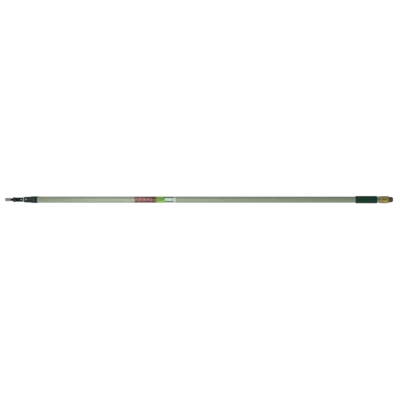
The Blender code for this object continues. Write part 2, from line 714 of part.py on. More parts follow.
def build_butt(tube, parts, cutters):
    """The cap over the tube's butt end, its rivet, and the bumper set in it."""
    olive = finish("cap_olive", (0.21, 0.17, 0.045), 0.45)
    steel = finish("cap_rivet_steel", (0.45, 0.45, 0.44), 0.35, 1.0)
    dark = finish("bumper_dark", (0.070, 0.062, 0.045), 0.7)

    stem = STEM_DIAMETER / 2
    wall_front = outer_rear + FIT_GAP
    front_length, front_drop = CAP_FRONT_TAPER
    rear_length, rear_drop = CAP_REAR_TAPER
    profile = [
        (cap_rear, cap_radius - rear_drop),
        (cap_rear - rear_length, cap_radius),
        (cap_front + front_length, cap_radius),
        (cap_front, cap_radius - front_drop),
        (cap_front, over_tube_bore),
        (wall_front, over_tube_bore),
        (wall_front, stem + FIT_GAP),
        (cap_rear, stem + FIT_GAP),
    ]
    cap = turned("butt_cap", profile, parts, olive)
    half_width = CAP_RECESS_WIDTH / 2
    recess_front = cap_front + CAP_SLOT_LENGTH + CAP_RECESS_FRONT_LAND
    recess_rear = cap_rear - CAP_RECESS_REAR_LAND
    half_straight = (recess_rear - recess_front) / 2 - half_width
    stadium = arc((half_straight, 0), half_width, -90, 90, 10)
    stadium += arc((-half_straight, 0), half_width, 90, 270, 10)
    middle = (recess_front + recess_rear) / 2
    floor = cap_radius - CAP_RECESS_DEPTH
    for name, side in (("front", -1), ("back", 1)):
        centre = (middle, side * (floor + OVERCUT), 0)
        recess = outline_solid(f"recess_{name}", stadium, OVERCUT, cutters, None, TO_FRONT, centre)
        combine(cap, as_cutter(recess))
    slot = box(
        "cap_slot",
        (cap_front - OVERCUT, -cap_radius - OVERCUT, -CAP_SLOT_WIDTH / 2),
        (cap_front + CAP_SLOT_LENGTH, -outer_bore, CAP_SLOT_WIDTH / 2),
        cutters,
    )
    combine(cap, as_cutter(slot))

    rivet_station = cap_front + CAP_RIVET_SETBACK
    out = radial(CAP_RIVET_ANGLE, -1)
    reach = cap_radius + OVERCUT
    hole = FLUSH_RIVET_DIAMETER + 2 * FIT_GAP
    drill([cap, tube], "cap_rivet_hole", rivet_station, out, outer_bore - OVERCUT, reach, hole, cutters)
    seat = cap_radius + FIT_GAP
    top = seat + RIVET_HEAD_HEIGHT
    head = RIVET_HEAD_DIAMETER / 3
    shank = FLUSH_RIVET_DIAMETER / 2
    end = outer_bore - FIT_GAP
    profile = [(top, 0), (top, head / 2), (seat + RIVET_HEAD_HEIGHT / 2, head)]
    profile += [(seat, head), (seat, shank), (end, shank), (end, 0)]
    turned("cap_rivet", profile, parts, steel, out, (rivet_station, 0, 0), SMALL_SEGMENTS)

    bumper_rear = bumper_front + BUMPER_LENGTH
    bumper = BUMPER_DIAMETER / 2
    rounding = arc((bumper_rear - BUMPER_ROUND, bumper - BUMPER_ROUND), BUMPER_ROUND, 0, 90, 5)
    profile = [(bumper_rear, 0), *rounding, (bumper_front, bumper)]
    profile += [(bumper_front, stem), (stem_front, stem), (stem_front, 0)]
    turned("butt_bumper", profile, parts, dark)


def hang_on(parent_name, location, children, collection):
    """An empty on a joint's axis that carries the pieces moving with it."""
    carrier = bpy.data.objects.new(parent_name, None)
    collection.objects.link(carrier)
    carrier.location = location
    bpy.context.view_layer.update()
    for child in children:
        child.parent = carrier
        child.matrix_parent_inverse = carrier.matrix_world.inverted()


def main():
    """Build the pole."""
    clear_scene()
    parts = new_collection("roller_extension_pole")
    cutters = new_collection("cutters")
    ferrule = build_tip(parts, cutters)
    build_inner_tube(ferrule, parts, cutters)
    inner_pieces = list(parts.objects)
    tube = build_outer_tube(parts)
    lever, lock_pin = build_lock(tube, parts, cutters)
    build_grip(parts)
    build_butt(tube, parts, cutters)
    hang_on("pole_slide_axis", (0, 0, 0), inner_pieces, parts)
    hang_on("lock_lever_axis", (pivot_station, -pivot_radius, 0), [lever, lock_pin], parts)


main()
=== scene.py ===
"""Roller extension pole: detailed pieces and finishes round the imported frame, laid out as an add-on.

Every length is in metres. The pole lies along X with its tool end at the origin, and its lock lever faces -Y.
An angle round the pole is measured from -Y, upward.
"""

import json
import math

import bmesh
import bpy
from mathutils import Matrix, Vector


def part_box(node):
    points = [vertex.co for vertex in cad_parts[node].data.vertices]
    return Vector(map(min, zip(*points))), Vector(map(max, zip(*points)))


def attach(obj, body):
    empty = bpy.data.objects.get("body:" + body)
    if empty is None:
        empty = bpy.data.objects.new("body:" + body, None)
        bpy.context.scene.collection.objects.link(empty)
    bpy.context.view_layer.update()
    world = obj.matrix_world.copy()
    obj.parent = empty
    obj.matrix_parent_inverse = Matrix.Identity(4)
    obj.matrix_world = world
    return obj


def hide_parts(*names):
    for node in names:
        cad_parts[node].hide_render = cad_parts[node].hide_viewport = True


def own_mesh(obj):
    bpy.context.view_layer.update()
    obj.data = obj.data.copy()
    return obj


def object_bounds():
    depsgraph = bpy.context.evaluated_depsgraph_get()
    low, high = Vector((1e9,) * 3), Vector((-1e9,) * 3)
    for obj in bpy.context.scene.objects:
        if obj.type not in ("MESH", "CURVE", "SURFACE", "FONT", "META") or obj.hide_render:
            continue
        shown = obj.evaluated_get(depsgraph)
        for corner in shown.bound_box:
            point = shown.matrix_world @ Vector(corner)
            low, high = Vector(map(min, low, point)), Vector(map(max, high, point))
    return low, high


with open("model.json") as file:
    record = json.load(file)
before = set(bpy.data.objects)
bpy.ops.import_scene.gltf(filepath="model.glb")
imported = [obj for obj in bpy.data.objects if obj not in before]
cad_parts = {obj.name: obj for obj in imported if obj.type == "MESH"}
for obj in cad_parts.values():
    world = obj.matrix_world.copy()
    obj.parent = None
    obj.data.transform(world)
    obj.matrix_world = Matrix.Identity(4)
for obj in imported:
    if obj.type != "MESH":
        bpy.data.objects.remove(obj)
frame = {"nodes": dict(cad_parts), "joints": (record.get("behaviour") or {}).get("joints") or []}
cad_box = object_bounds()

bl_info = {
    "name": "Roller Extension Pole",
    "version": (1, 0, 0),
    "blender": (4, 5, 0),
    "location": "3D View > Sidebar > Pole",
    "description": "Builds a painter's telescopic pole piece by piece",
    "category": "Add Mesh",
}

# Directions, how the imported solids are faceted, the distance under which points are one, and a length
# from the axis that is past every piece
TO_BUTT = Vector((1, 0, 0))
TO_FRONT = Vector((0, -1, 0))
UPWARD = Vector((0, 0, 1))
CAD_FACETS = 32
WELD = 1e-7
REACH = 0.03


# Sizes and colours that a user would change

class PoleSizes(bpy.types.PropertyGroup):
    """Sizes that the frame doesn't give."""

    tube_wall: bpy.props.FloatProperty(
        name="Tube wall", description="Wall of both tubes", default=0.0014, unit="LENGTH")
    fit_gap: bpy.props.FloatProperty(
        name="Fit gap", description="Gap between pieces that are fixed together", default=0.0003,
        unit="LENGTH")
    fillet: bpy.props.FloatProperty(
        name="Fillet", description="Rounding of moulded edges", default=0.0005, unit="LENGTH")
    thread_root: bpy.props.FloatProperty(
        name="Thread root", description="Radius at the thread's root", default=0.0070, unit="LENGTH")
    thread_pitch: bpy.props.FloatProperty(
        name="Thread pitch", description="Five threads to the inch", default=0.00508, unit="LENGTH")
    stud_radius: bpy.props.FloatProperty(
        name="Stud", description="Radius of the tip's stud in the ferrule", default=0.0050, unit="LENGTH")
    hole_pitch: bpy.props.FloatProperty(
        name="Hole pitch", description="Distance between the inner tube's holes", default=0.1524,
        unit="LENGTH")
    hole_radius: bpy.props.FloatProperty(
        name="Hole radius", description="Radius of the inner tube's holes", default=0.0035, unit="LENGTH")
    rivet_hole: bpy.props.FloatProperty(
        name="Rivet hole", description="Radius of the tip rivet's hole", default=0.0023, unit="LENGTH")
    pin_hole: bpy.props.FloatProperty(
        name="Pin hole", description="Radius of the pin's hole in nose and ferrule", default=0.004,
        unit="LENGTH")
    pivot_hole: bpy.props.FloatProperty(
        name="Pivot hole", description="Radius of the pivot's hole in cheeks and lever", default=0.0018,
        unit="LENGTH")
    screw_hole: bpy.props.FloatProperty(
        name="Screw hole", description="Radius of the housing screws' holes", default=0.0018, unit="LENGTH")
    slit: bpy.props.FloatProperty(
        name="Slit", description="Width of the slits in the cap's rim and in the tube", default=0.0024,
        unit="LENGTH")
    facets: bpy.props.IntProperty(
        name="Facets", description="Facets round the pole", default=96, min=24)
    small_facets: bpy.props.IntProperty(
        name="Small facets", description="Facets round a rivet or pin", default=40, min=12)


def colour_property(label, words, value):
    """A colour for the panel."""
    return bpy.props.FloatVectorProperty(
        name=label, description=words, default=value, subtype="COLOR", size=3, min=0, max=1)


class PoleColours(bpy.types.PropertyGroup):
    """Colours of the pieces."""

    tube: colour_property("Tube", "Outer tube", (0.335, 0.375, 0.285))
    tube_fibre: colour_property("Tube fibre", "Darker fibres in the outer tube", (0.270, 0.310, 0.225))
    inner: colour_property("Inner tube", "Bare aluminium", (0.560, 0.630, 0.575))
    tip: colour_property("Tip", "Cast metal of the threaded tip", (0.420, 0.435, 0.400))
    neck: colour_property("Neck", "Black sleeve behind the thread", (0.003, 0.005, 0.002))
    collar: colour_property("Collar", "Collar behind the neck", (0.022, 0.028, 0.018))
    ferrule: colour_property("Ferrule", "Ferrule between the collar and the tube", (0.003, 0.010, 0.005))
    lock: colour_property("Lock", "Nose and housing of the lock", (0.010, 0.029, 0.017))
    lever: colour_property("Lever", "Lever of the lock", (0.030, 0.062, 0.042))
    ring: colour_property("Ring", "Pale ring behind the lock", (0.300, 0.380, 0.300))
    steel: colour_property("Steel", "Pins, rivets and screws", (0.500, 0.545, 0.505))
    nylon: colour_property("Nylon", "Guide bush and sleeve", (0.560, 0.560, 0.500))
    grip: colour_property("Grip", "Hand grip", (0.0080, 0.052, 0.031))
    cap: colour_property("Cap", "Butt cap", (0.420, 0.360, 0.115))
    # Darker tone of the cap's streaks, also used as painted shade in its front recess
    cap_deep_tone_and_recess_shade: colour_property("Cap shade", "Darker tone of the butt cap", (0.230, 0.180, 0.022))
    bumper: colour_property("Bumper", "End bumper", (0.105, 0.098, 0.072))
    label_red: colour_property("Label red", "First panel of the label", (0.210, 0.082, 0.078))
    label_pink: colour_property("Label pink", "Marks on the first panel", (0.520, 0.290, 0.280))
    label_olive: colour_property("Label olive", "Bars between the panels", (0.090, 0.052, 0.010))
    label_brown: colour_property("Label brown", "Strip after the first panel", (0.150, 0.052, 0.022))
    label_moss: colour_property("Label moss", "Strip before the second panel", (0.250, 0.210, 0.050))
    label_green: colour_property("Label green", "Second panel of the label", (0.172, 0.375, 0.065))
    label_mint: colour_property("Label mint", "Third panel of the label", (0.560, 0.680, 0.600))
    label_border: colour_property("Label border", "Border and gaps of the label", (0.620, 0.700, 0.580))


class PoleStage(bpy.types.PropertyGroup):
    """The camera and the lights."""

    lens: bpy.props.FloatProperty(
        name="Lens", description="Focal length in millimetres", default=200.0)
    view_width: bpy.props.FloatProperty(
        name="View width", description="Width of the view at the pole", default=2.032, unit="LENGTH")
    aside: bpy.props.FloatProperty(
        name="Aside", description="How far the view's middle lies past the pole's middle, toward the butt",
        default=0.0046, unit="LENGTH")
    below: bpy.props.FloatProperty(
        name="Below", description="How far the view's middle lies below the pole", default=0.0018,
        unit="LENGTH")
    upward: bpy.props.FloatProperty(
        name="Upward", description="How far the camera looks up at the pole", default=math.radians(5),
        unit="ROTATION")
    near_key: bpy.props.FloatProperty(
        name="Near key", description="Light near the lock, in watts", default=0.9, unit="POWER")
    wide_key: bpy.props.FloatProperty(
        name="Wide key", description="Light on the whole pole, in watts", default=5.4, unit="POWER")
    fill: bpy.props.FloatProperty(name="Fill", description="Light of the room on the pole", default=0.40)
    floor_glow: bpy.props.FloatProperty(name="Floor glow", description="Light from the floor", default=0.30)
    backdrop: bpy.props.FloatProperty(name="Backdrop", description="Brightness of the backdrop", default=1.05)


def colours():
    """The colours in the panel."""
    return bpy.context.scene.pole_colours


# Reading the frame

def span(node):
    """Where a node starts and ends along the pole."""
    low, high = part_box(node)
    return low.x, high.x


def radius_of(node):
    """The radius of a round node on the pole's axis."""
    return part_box(node)[1].z / math.cos(math.pi / CAD_FACETS)


def middle_of(node):
    """The middle of a node's box."""
    low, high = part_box(node)
    return (low + high) / 2


def stand(node):
    """The middle of a rivet or screw that stands out of the pole, and its direction."""
    middle = middle_of(node)
    return middle, Vector((0, middle.y, middle.z)).normalized()


# Shapes

def keep(shape, name, material, body=None, replaced=()):
    """Make a piece of a bmesh: shaded, finished, riding on its body and standing for its CAD nodes."""
    mesh = bpy.data.meshes.new(name)
    bmesh.ops.recalc_face_normals(shape, faces=shape.faces)
    shape.to_mesh(mesh)
    shape.free()
    shade(mesh)
    if material:
        mesh.materials.append(material)
    piece = bpy.data.objects.new(name, mesh)
    bpy.context.scene.collection.objects.link(piece)
    if body:
        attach(piece, body)
    if replaced:
        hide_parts(*replaced)
    return piece


def shade(mesh, angle=32):
    """Smooth shading with sharp edges kept."""
    mesh.shade_smooth()
    mesh.set_sharp_from_angle(angle=math.radians(angle))


def rounded(corners, closed, steps=4):
    """An outline of (along, out, rounding) corners, each turned into a short curve."""
    outline = []
    for index, (along, out, rounding) in enumerate(corners):
        at_end = not closed and index in (0, len(corners) - 1)
        here = Vector((along, out))
        if at_end or rounding == 0:
            outline.append(here)
            continue
        before = Vector(corners[index - 1][:2])
        after = Vector(corners[(index + 1) % len(corners)][:2])
        reach = min(rounding, 0.45 * (before - here).length, 0.45 * (after - here).length)
        start = here + (before - here).normalized() * reach
        end = here + (after - here).normalized() * reach
        for step in range(steps + 1):
            share = step / steps
            outline.append((1 - share) ** 2 * start + 2 * share * (1 - share) * here + share ** 2 * end)
    return outline


def divided(outline, closed, spacing):
    """The outline with its long stretches cut to the spacing."""
    result = []
    pairs = list(zip(outline, outline[1:] + outline[:1]))
    if not closed:
        pairs = pairs[:-1]
    for start, end in pairs:
        pieces = max(1, round((end - start).length / spacing))
        result += [start.lerp(end, step / pieces) for step in range(pieces)]
    if not closed:
        result.append(outline[-1])
    return result


def turn(corners, facets, spacing=None, relief=None, above=0.0):
    """A bmesh turned round X from (along, radius, rounding) corners.

    A relief moves each point whose radius is over the limit above by relief(along, angle), outward.
    """
    closed = min(out for along, out, rounding in corners) > 0
    outline = rounded(corners, closed)
    if spacing:
        outline = divided(outline, closed, spacing)
    shape = bmesh.new()
    points = [shape.verts.new((along, -out, 0)) for along, out in outline]
    edges = [shape.edges.new(pair) for pair in zip(points, points[1:])]
    if closed:
        edges.append(shape.edges.new((points[-1], points[0])))
    bmesh.ops.spin(
        shape, geom=points + edges, cent=(0, 0, 0), axis=(1, 0, 0), angle=math.tau, steps=facets,
        use_merge=True)
    bmesh.ops.remove_doubles(shape, verts=shape.verts, dist=WELD)
    if relief:
        for point in shape.verts:
            out = math.hypot(point.co.y, point.co.z)
            if out > above:
                angle = math.atan2(point.co.z, -point.co.y)
                scale = (out + relief(point.co.x, angle)) / out
                point.co.y *= scale
                point.co.z *= scale
    return shape


def pipe(front, rear, radius, bore, edge=0.0003):
    """Corners of a plain tube with eased ends."""
    return [(rear, radius, edge), (front, radius, edge), (front, bore, edge), (rear, bore, edge)]


def place(shape, direction, origin):
    """Turn a bmesh's X to a direction and move it to its origin."""
    turned = TO_BUTT.rotation_difference(direction).to_matrix().to_4x4()
    bmesh.ops.transform(shape, matrix=Matrix.Translation(origin) @ turned, verts=shape.verts)
    return shape


def rod(start, end, radius, direction, origin, facets):
    """A plain round bar as a bmesh."""
    corners = [(end, 0, 0), (end, radius, 0), (start, radius, 0), (start, 0, 0)]
    return place(turn(corners, facets), direction, origin)


def soften(shape, edges, rounding):
    """Round some edges of a bmesh."""
    bmesh.ops.bevel(shape, geom=edges, offset=rounding, segments=3, affect="EDGES", profile=0.5)


def drilled(shape, start, end, radius, direction, origin):
    """A bmesh with a round hole through it, from start to end along a direction."""
    facets = bpy.context.scene.pole_sizes.small_facets
    return carve(shape, rod(start, end, radius, direction, origin, facets))


def block(low, high, rounding=0.0):
    """A box as a bmesh, with its edges rounded."""
    shape = bmesh.new()
    bmesh.ops.create_cube(shape, size=1)
    low = Vector(low)
    high = Vector(high)
    for point in shape.verts:
        point.co = Vector([
            low[axis] + (high[axis] - low[axis]) * (point.co[axis] + 0.5) for axis in range(3)])
    if rounding:
        soften(shape, list(shape.edges), rounding)
    return shape


def slab(outline, half_width, rounding):
    """An outline of (x, y) points made thick along Z, as a bmesh with its rims rounded."""
    shape = bmesh.new()
    face = shape.faces.new([shape.verts.new((along, across, -half_width)) for along, across in outline])
    grown = bmesh.ops.extrude_face_region(shape, geom=[face])
    moved = [thing for thing in grown["geom"] if isinstance(thing, bmesh.types.BMVert)]
    bmesh.ops.translate(shape, vec=(0, 0, 2 * half_width), verts=moved)
    bmesh.ops.recalc_face_normals(shape, faces=shape.faces)
    rims = [edge for edge in shape.edges if edge.verts[0].co.z == edge.verts[1].co.z]
    if rounding:
        soften(shape, rims, rounding)
    return shape


def join(*shapes):
    """Several bmeshes as one."""
    whole = bmesh.new()
    for shape in shapes:
        part = bpy.data.meshes.new("part")
        shape.to_mesh(part)
        shape.free()
        whole.from_mesh(part)
        bpy.data.meshes.remove(part)
    return whole


def carve(shape, tool, operation="DIFFERENCE"):
    """One bmesh cut by, or joined with, another."""
    holders = []
    for name, part in (("carved", shape), ("tool", tool)):
        bmesh.ops.recalc_face_normals(part, faces=part.faces)
        mesh = bpy.data.meshes.new(name)
        part.to_mesh(mesh)
        part.free()
        holder = bpy.data.objects.new(name, mesh)
        bpy.context.scene.collection.objects.link(holder)
        holders.append(holder)
    carved, cutter = holders
    step = carved.modifiers.new("carve", "BOOLEAN")
    step.object = cutter
    step.operation = operation
    step.solver = "EXACT"
    bpy.context.view_layer.update()
    result = bpy.data.meshes.new_from_object(carved.evaluated_get(bpy.context.evaluated_depsgraph_get()))
    made = bmesh.new()
    made.from_mesh(result)
    for holder in holders:
        mesh = holder.data
        bpy.data.objects.remove(holder)
        bpy.data.meshes.remove(mesh)
    bpy.data.meshes.remove(result)
    if not made.faces:
        raise RuntimeError("a cut left nothing")
    return made


def loft(sections):
    """A bmesh through rings of points, closed at both ends."""
    shape = bmesh.new()
    rings = [[shape.verts.new(point) for point in section] for section in sections]
    for first, second in zip(rings, rings[1:]):
        for index in range(len(first)):
            after = (index + 1) % len(first)
            shape.faces.new((first[index], first[after], second[after], second[index]))
    shape.faces.new(reversed(rings[0]))
    shape.faces.new(rings[-1])
    return shape


def smooth_step(edge, full, value):
    """0 on the near side of the edge, 1 past full, and a soft turn between them."""
    share = min(max((value - edge) / (full - edge), 0.0), 1.0)
    return share * share * (3 - 2 * share)


def window(value, start, full, fade, end):
    """1 from full to fade, 0 before start and after the end, with soft turns."""
    return smooth_step(start, full, value) * smooth_step(end, fade, value)


def flute(angle, count, sharpness=2):
    """1 in the middle of each of the flutes round the pole, 0 between them."""
    return (0.5 + 0.5 * math.cos(count * angle)) ** sharpness


def groove(middle, half_top, half_floor, radius, depth, rounding=0.0002):
    """Corners of a groove round the pole, from its rear edge to its front edge."""
    return [
        (middle + half_top, radius, rounding), (middle + half_floor, radius - depth, rounding),
        (middle - half_floor, radius - depth, rounding), (middle - half_top, radius, rounding)]


def stadium(along, across, half_straight, half_width, soft):
    """1 inside a slot with round ends, 0 outside, with a soft edge."""
    past = max(abs(along) - half_straight, 0.0)
    return smooth_step(soft, -soft, math.hypot(past, across) - half_width)


def angle_between(angle, other):
    """The angle from one to the other, the short way round."""
    return (angle - other + math.pi) % math.tau - math.pi


# Finishes

class Finish:
    """A material being built: short calls that add its nodes."""

    slots = {}

    def __init__(self, name, slot, roughness, metallic=0.0, specular=0.5, coat=0.0):
        self.material = bpy.data.materials.new(name)
        self.material.use_nodes = True
        self.tree = self.material.node_tree
        self.shader = self.tree.nodes["Principled BSDF"]
        self.slots[self.material.name] = slot
        self.shader.inputs["Roughness"].default_value = roughness
        self.shader.inputs["Metallic"].default_value = metallic
        self.shader.inputs["Specular IOR Level"].default_value = specular
        self.shader.inputs["Coat Weight"].default_value = coat
        self.place = self.tree.nodes.new("ShaderNodeTexCoord").outputs["Object"]

    def node(self, kind, **inputs):
        """A node with its inputs set or linked by name."""
        made = self.tree.nodes.new(kind)
        for name, value in inputs.items():
            self.put(made.inputs[name.replace("_", " ")], value)
        return made

    def put(self, socket, value):
        """A value, or a link if it is another node's output."""
        if isinstance(value, bpy.types.NodeSocket):
            self.tree.links.new(value, socket)
        else:
            socket.default_value = value

    def math(self, operation, first, second=0.0, third=0.0):
        """A math node's output."""
        made = self.tree.nodes.new("ShaderNodeMath")
        made.operation = operation
        for socket, value in zip(made.inputs, (first, second, third)):
            self.put(socket, value)
        return made.outputs[0]

    def noise(self, scale, stretch=(1, 1, 1), detail=4.0, rough=0.55, warp=0.0):
        """Noise over the piece, finer or coarser along each axis."""
        mapped = self.node("ShaderNodeMapping", Vector=self.place, Scale=stretch)
        made = self.node(
            "ShaderNodeTexNoise", Vector=mapped.outputs[0], Scale=scale, Detail=detail, Roughness=rough,
            Distortion=warp)
        return made.outputs[0]

    def cells(self, scale, stretch=(1, 1, 1)):
        """Distance to the nearest of many scattered points."""
        mapped = self.node("ShaderNodeMapping", Vector=self.place, Scale=stretch)
        return self.node("ShaderNodeTexVoronoi", Vector=mapped.outputs[0], Scale=scale).outputs["Distance"]

    def spread(self, value, low, high, to_low=0.0, to_high=1.0):
        """A value's range moved to another."""
        made = self.node(
            "ShaderNodeMapRange", Value=value, From_Min=low, From_Max=high, To_Min=to_low, To_Max=to_high)
        return made.outputs[0]

    def mix(self, share, first, second):
        """Two colours mixed."""
        made = self.tree.nodes.new("ShaderNodeMix")
        made.data_type = "RGBA"
        self.put(made.inputs["Factor"], share)
        for socket, value in ((made.inputs[6], first), (made.inputs[7], second)):
            if not isinstance(value, bpy.types.NodeSocket):
                value = (*value, 1.0)
            self.put(socket, value)
        return made.outputs[2]

    def colour(self, value):
        """The base colour."""
        self.put(self.shader.inputs["Base Color"], value)

    def roughness(self, value):
        """The roughness."""
        self.put(self.shader.inputs["Roughness"], value)

    def bump(self, *layers):
        """Bump from (height, distance, strength) layers, one on the other."""
        normal = None
        for height, distance, strength in layers:
            made = self.node("ShaderNodeBump", Height=height, Distance=distance, Strength=strength)
            if normal:
                self.put(made.inputs["Normal"], normal)
            normal = made.outputs[0]
        self.put(self.shader.inputs["Normal"], normal)

    def edges(self):
        """1 along worn outer edges, 0 on flat skin and in hollows."""
        bend = self.tree.nodes.new("ShaderNodeNewGeometry").outputs["Pointiness"]
        worn = self.spread(bend, 0.54, 0.62)
        return self.math("MULTIPLY", worn, self.spread(self.noise(400.0), 0.35, 0.6))

    def around(self):
        """The angle round the pole from -Y, upward, in radians, and the distance along the pole."""
        parts = self.node("ShaderNodeSeparateXYZ", Vector=self.place)
        angle = self.math("ARCTAN2", parts.outputs["Z"], self.math("MULTIPLY", parts.outputs["Y"], -1.0))
        return angle, parts.outputs["X"]

    def inside(self, value, low, high, soft):
        """1 where the value lies between low and high, with soft edges."""
        rising = self.spread(value, low - soft, low + soft)
        falling = self.spread(value, high + soft, high - soft)
        return self.math("MULTIPLY", rising, falling)


def darker(colour, share):
    """A colour scaled down or up."""
    return tuple(channel * share for channel in colour)


def moulded(name, slot, colour, roughness, specular=0.25, grain=1500.0, contrast=0.25):
    """Moulded plastic: fine spark texture, faint flow marks and hand-polished patches."""
    made = Finish(name, slot, roughness, specular=specular)
    flow = made.noise(60.0, (0.35, 1, 1), warp=0.6)
    dust = made.noise(700.0, detail=2.0)
    tone = made.mix(made.spread(flow, 0.35, 0.65), darker(colour, 1 - contrast), darker(colour, 1 + contrast))
    tone = made.mix(made.spread(dust, 0.62, 0.78, 0.0, 0.35), tone, darker(colour, 1.9))
    made.colour(made.mix(made.math("MULTIPLY", made.edges(), 0.5), tone, darker(colour, 2.2)))
    made.roughness(made.spread(made.noise(140.0), 0.3, 0.7, roughness - 0.09, roughness + 0.09))
    made.bump((made.noise(grain, detail=3.0), 0.00006, 0.5), (flow, 0.0002, 0.15))
    return made.material


def drawn_metal(name, slot, colour, roughness, stretch, grain=900.0, metallic=1.0):
    """Metal with fine lines along the way it was drawn, and dull patches."""
    made = Finish(name, slot, roughness, metallic=metallic)
    lines = made.noise(grain, stretch, detail=5.0)
    patches = made.noise(45.0, warp=0.4)
    tone = made.mix(made.spread(lines, 0.3, 0.7), darker(colour, 0.86), darker(colour, 1.1))
    tone = made.mix(made.spread(patches, 0.5, 0.8, 0.0, 0.4), tone, darker(colour, 0.72))
    made.colour(tone)
    made.roughness(made.spread(patches, 0.3, 0.7, roughness - 0.08, roughness + 0.12))
    made.bump((lines, 0.00003, 0.4))
    return made.material


def cast_metal(name, slot, colour, roughness):
    """Tumbled casting: pitted skin, dull in the hollows and brighter where tools have rubbed it."""
    made = Finish(name, slot, roughness, metallic=0.7)
    pits = made.cells(900.0)
    cloud = made.noise(220.0, warp=0.5)
    tone = made.mix(made.spread(cloud, 0.35, 0.7), darker(colour, 0.75), darker(colour, 1.3))
    tone = made.mix(made.spread(pits, 0.0, 0.25, 0.5, 0.0), tone, darker(colour, 0.4))
    made.colour(made.mix(made.math("MULTIPLY", made.edges(), 0.6), tone, darker(colour, 1.5)))
    made.roughness(made.spread(cloud, 0.3, 0.7, roughness + 0.12, roughness - 0.08))
    made.bump((pits, 0.00008, 0.35), (cloud, 0.0001, 0.4))
    return made.material


def rubber(name, slot, colour, roughness, grain=1100.0):
    """Soft rubber with a leathery skin and a little chalky bloom."""
    made = Finish(name, slot, roughness, specular=0.18)
    skin = made.cells(grain)
    bloom = made.noise(35.0, (0.4, 1, 1), warp=0.8)
    tone = made.mix(made.spread(bloom, 0.4, 0.75), darker(colour, 0.88), darker(colour, 1.25))
    made.colour(made.mix(made.spread(skin, 0.0, 0.4, 0.25, 0.0), tone, darker(colour, 0.5)))
    made.roughness(made.spread(bloom, 0.3, 0.7, roughness - 0.08, roughness + 0.08))
    made.bump((skin, 0.00009, 0.5), (made.noise(2500.0), 0.00003, 0.4))
    return made.material


def fibreglass():
    """The outer tube's skin: long glass fibres under a satin resin, with a few scuffs along the pole."""
    tint = colours()
    made = Finish("tube_sage_fibreglass", "tube_sage", 0.38, specular=0.35, coat=0.10)
    fibres = made.noise(700.0, (0.018, 1, 1), detail=6.0, rough=0.65)
    strands = made.noise(160.0, (0.010, 1, 1), detail=2.0)
    cloud = made.noise(5.0, (0.5, 1, 1), detail=3.0)
    scuffs = made.noise(300.0, (0.06, 1, 1), detail=3.0, warp=0.4)
    tone = made.mix(made.spread(fibres, 0.35, 0.68), tuple(tint.tube_fibre), tuple(tint.tube))
    tone = made.mix(made.spread(strands, 0.45, 0.7, 0.0, 0.35), tone, darker(tint.tube, 1.18))
    tone = made.mix(made.spread(cloud, 0.35, 0.7, 0.0, 0.22), tone, darker(tint.tube_fibre, 0.95))
    made.colour(made.mix(made.spread(scuffs, 0.70, 0.76, 0.0, 0.35), tone, darker(tint.tube, 1.45)))
    made.roughness(made.spread(scuffs, 0.45, 0.75, 0.34, 0.55))
    made.bump((fibres, 0.00005, 0.35), (strands, 0.00012, 0.25))
    return made.material


def label_film(name, paint):
    """Printed film: the paint function gives its colour, under a thin gloss with faint creases."""
    made = Finish(name, "label_film", 0.32, specular=0.4, coat=0.15)
    speck = made.noise(1800.0, detail=2.0)
    shaded = made.mix(made.spread(speck, 0.3, 0.7, 0.0, 0.12), paint(made), (0.02, 0.02, 0.02))
    made.colour(shaded)
    made.roughness(made.spread(made.noise(90.0), 0.3, 0.7, 0.26, 0.42))
    made.bump((made.noise(25.0, (1, 2, 2), warp=0.5), 0.0003, 0.12))
    return made.material


class Finishes:
    """Each finish, made the first time that a piece asks for it."""

    made = {}

    @classmethod
    def get(cls, name):
        """A finish by name."""
        if name not in cls.made:
            cls.made[name] = cls.recipes()[name]()
        return cls.made[name]

    @classmethod
    def recipes(cls):
        """How each finish is made."""
        tint = colours()
        return {
            "fibreglass": fibreglass,
            "aluminium": lambda: drawn_metal(
                "inner_tube_aluminium", "inner_aluminium", tint.inner, 0.34, (0.02, 1, 1), metallic=0.6),
            "tip": lambda: cast_metal("tip_cast_metal", "tip_metal", tint.tip, 0.42),
            "steel": lambda: drawn_metal(
                "pin_steel", "rivet_steel", tint.steel, 0.36, (1, 1, 1), 1400.0, 0.6),
            "black_steel": lambda: drawn_metal(
                "rivet_black_steel", "rivet_steel", (0.05, 0.042, 0.012), 0.45, (1, 1, 1), 1400.0, 0.3),
            "spring": lambda: drawn_metal(
                "spring_steel_strip", "spring_steel", tint.steel, 0.28, (0.05, 1, 1)),
            "neck": lambda: moulded("neck_black_nylon", "neck_black", tint.neck, 0.50, 0.15),
            "collar": lambda: moulded(
                "collar_brown_black_nylon", "collar_brown_black", tint.collar, 0.46, 0.25),
            "ferrule": lambda: moulded("ferrule_green_nylon", "ferrule_green", tint.ferrule, 0.46, 0.15),
            "lock": lambda: moulded("lock_green_nylon", "lock_green", tint.lock, 0.42, 0.22, contrast=0.32),
            "lever": lambda: moulded(
                "lever_green_nylon", "lever_green", tint.lever, 0.38, 0.30, contrast=0.22),
            # Near-black painted shadow for the pocket behind the lever's thumb pad
            "lever_pocket_painted_shadow": lambda: moulded(
                "lever_pocket_painted_shadow_black", "lever_green", (0.001, 0.003, 0.001), 0.8, 0.05),
            "ring": lambda: moulded("ring_pale_nylon", "ring_pale", tint.ring, 0.40, 0.35, contrast=0.08),
            "nylon": lambda: moulded("guide_nylon", "nylon", tint.nylon, 0.48, 0.30, contrast=0.08),
            "grip": lambda: rubber("grip_green_rubber", "grip_green", tint.grip, 0.60),
            "bumper": lambda: rubber("bumper_dark_rubber", "bumper_dark", tint.bumper, 0.66, 800.0),
            "cap": cap_plastic,
        }


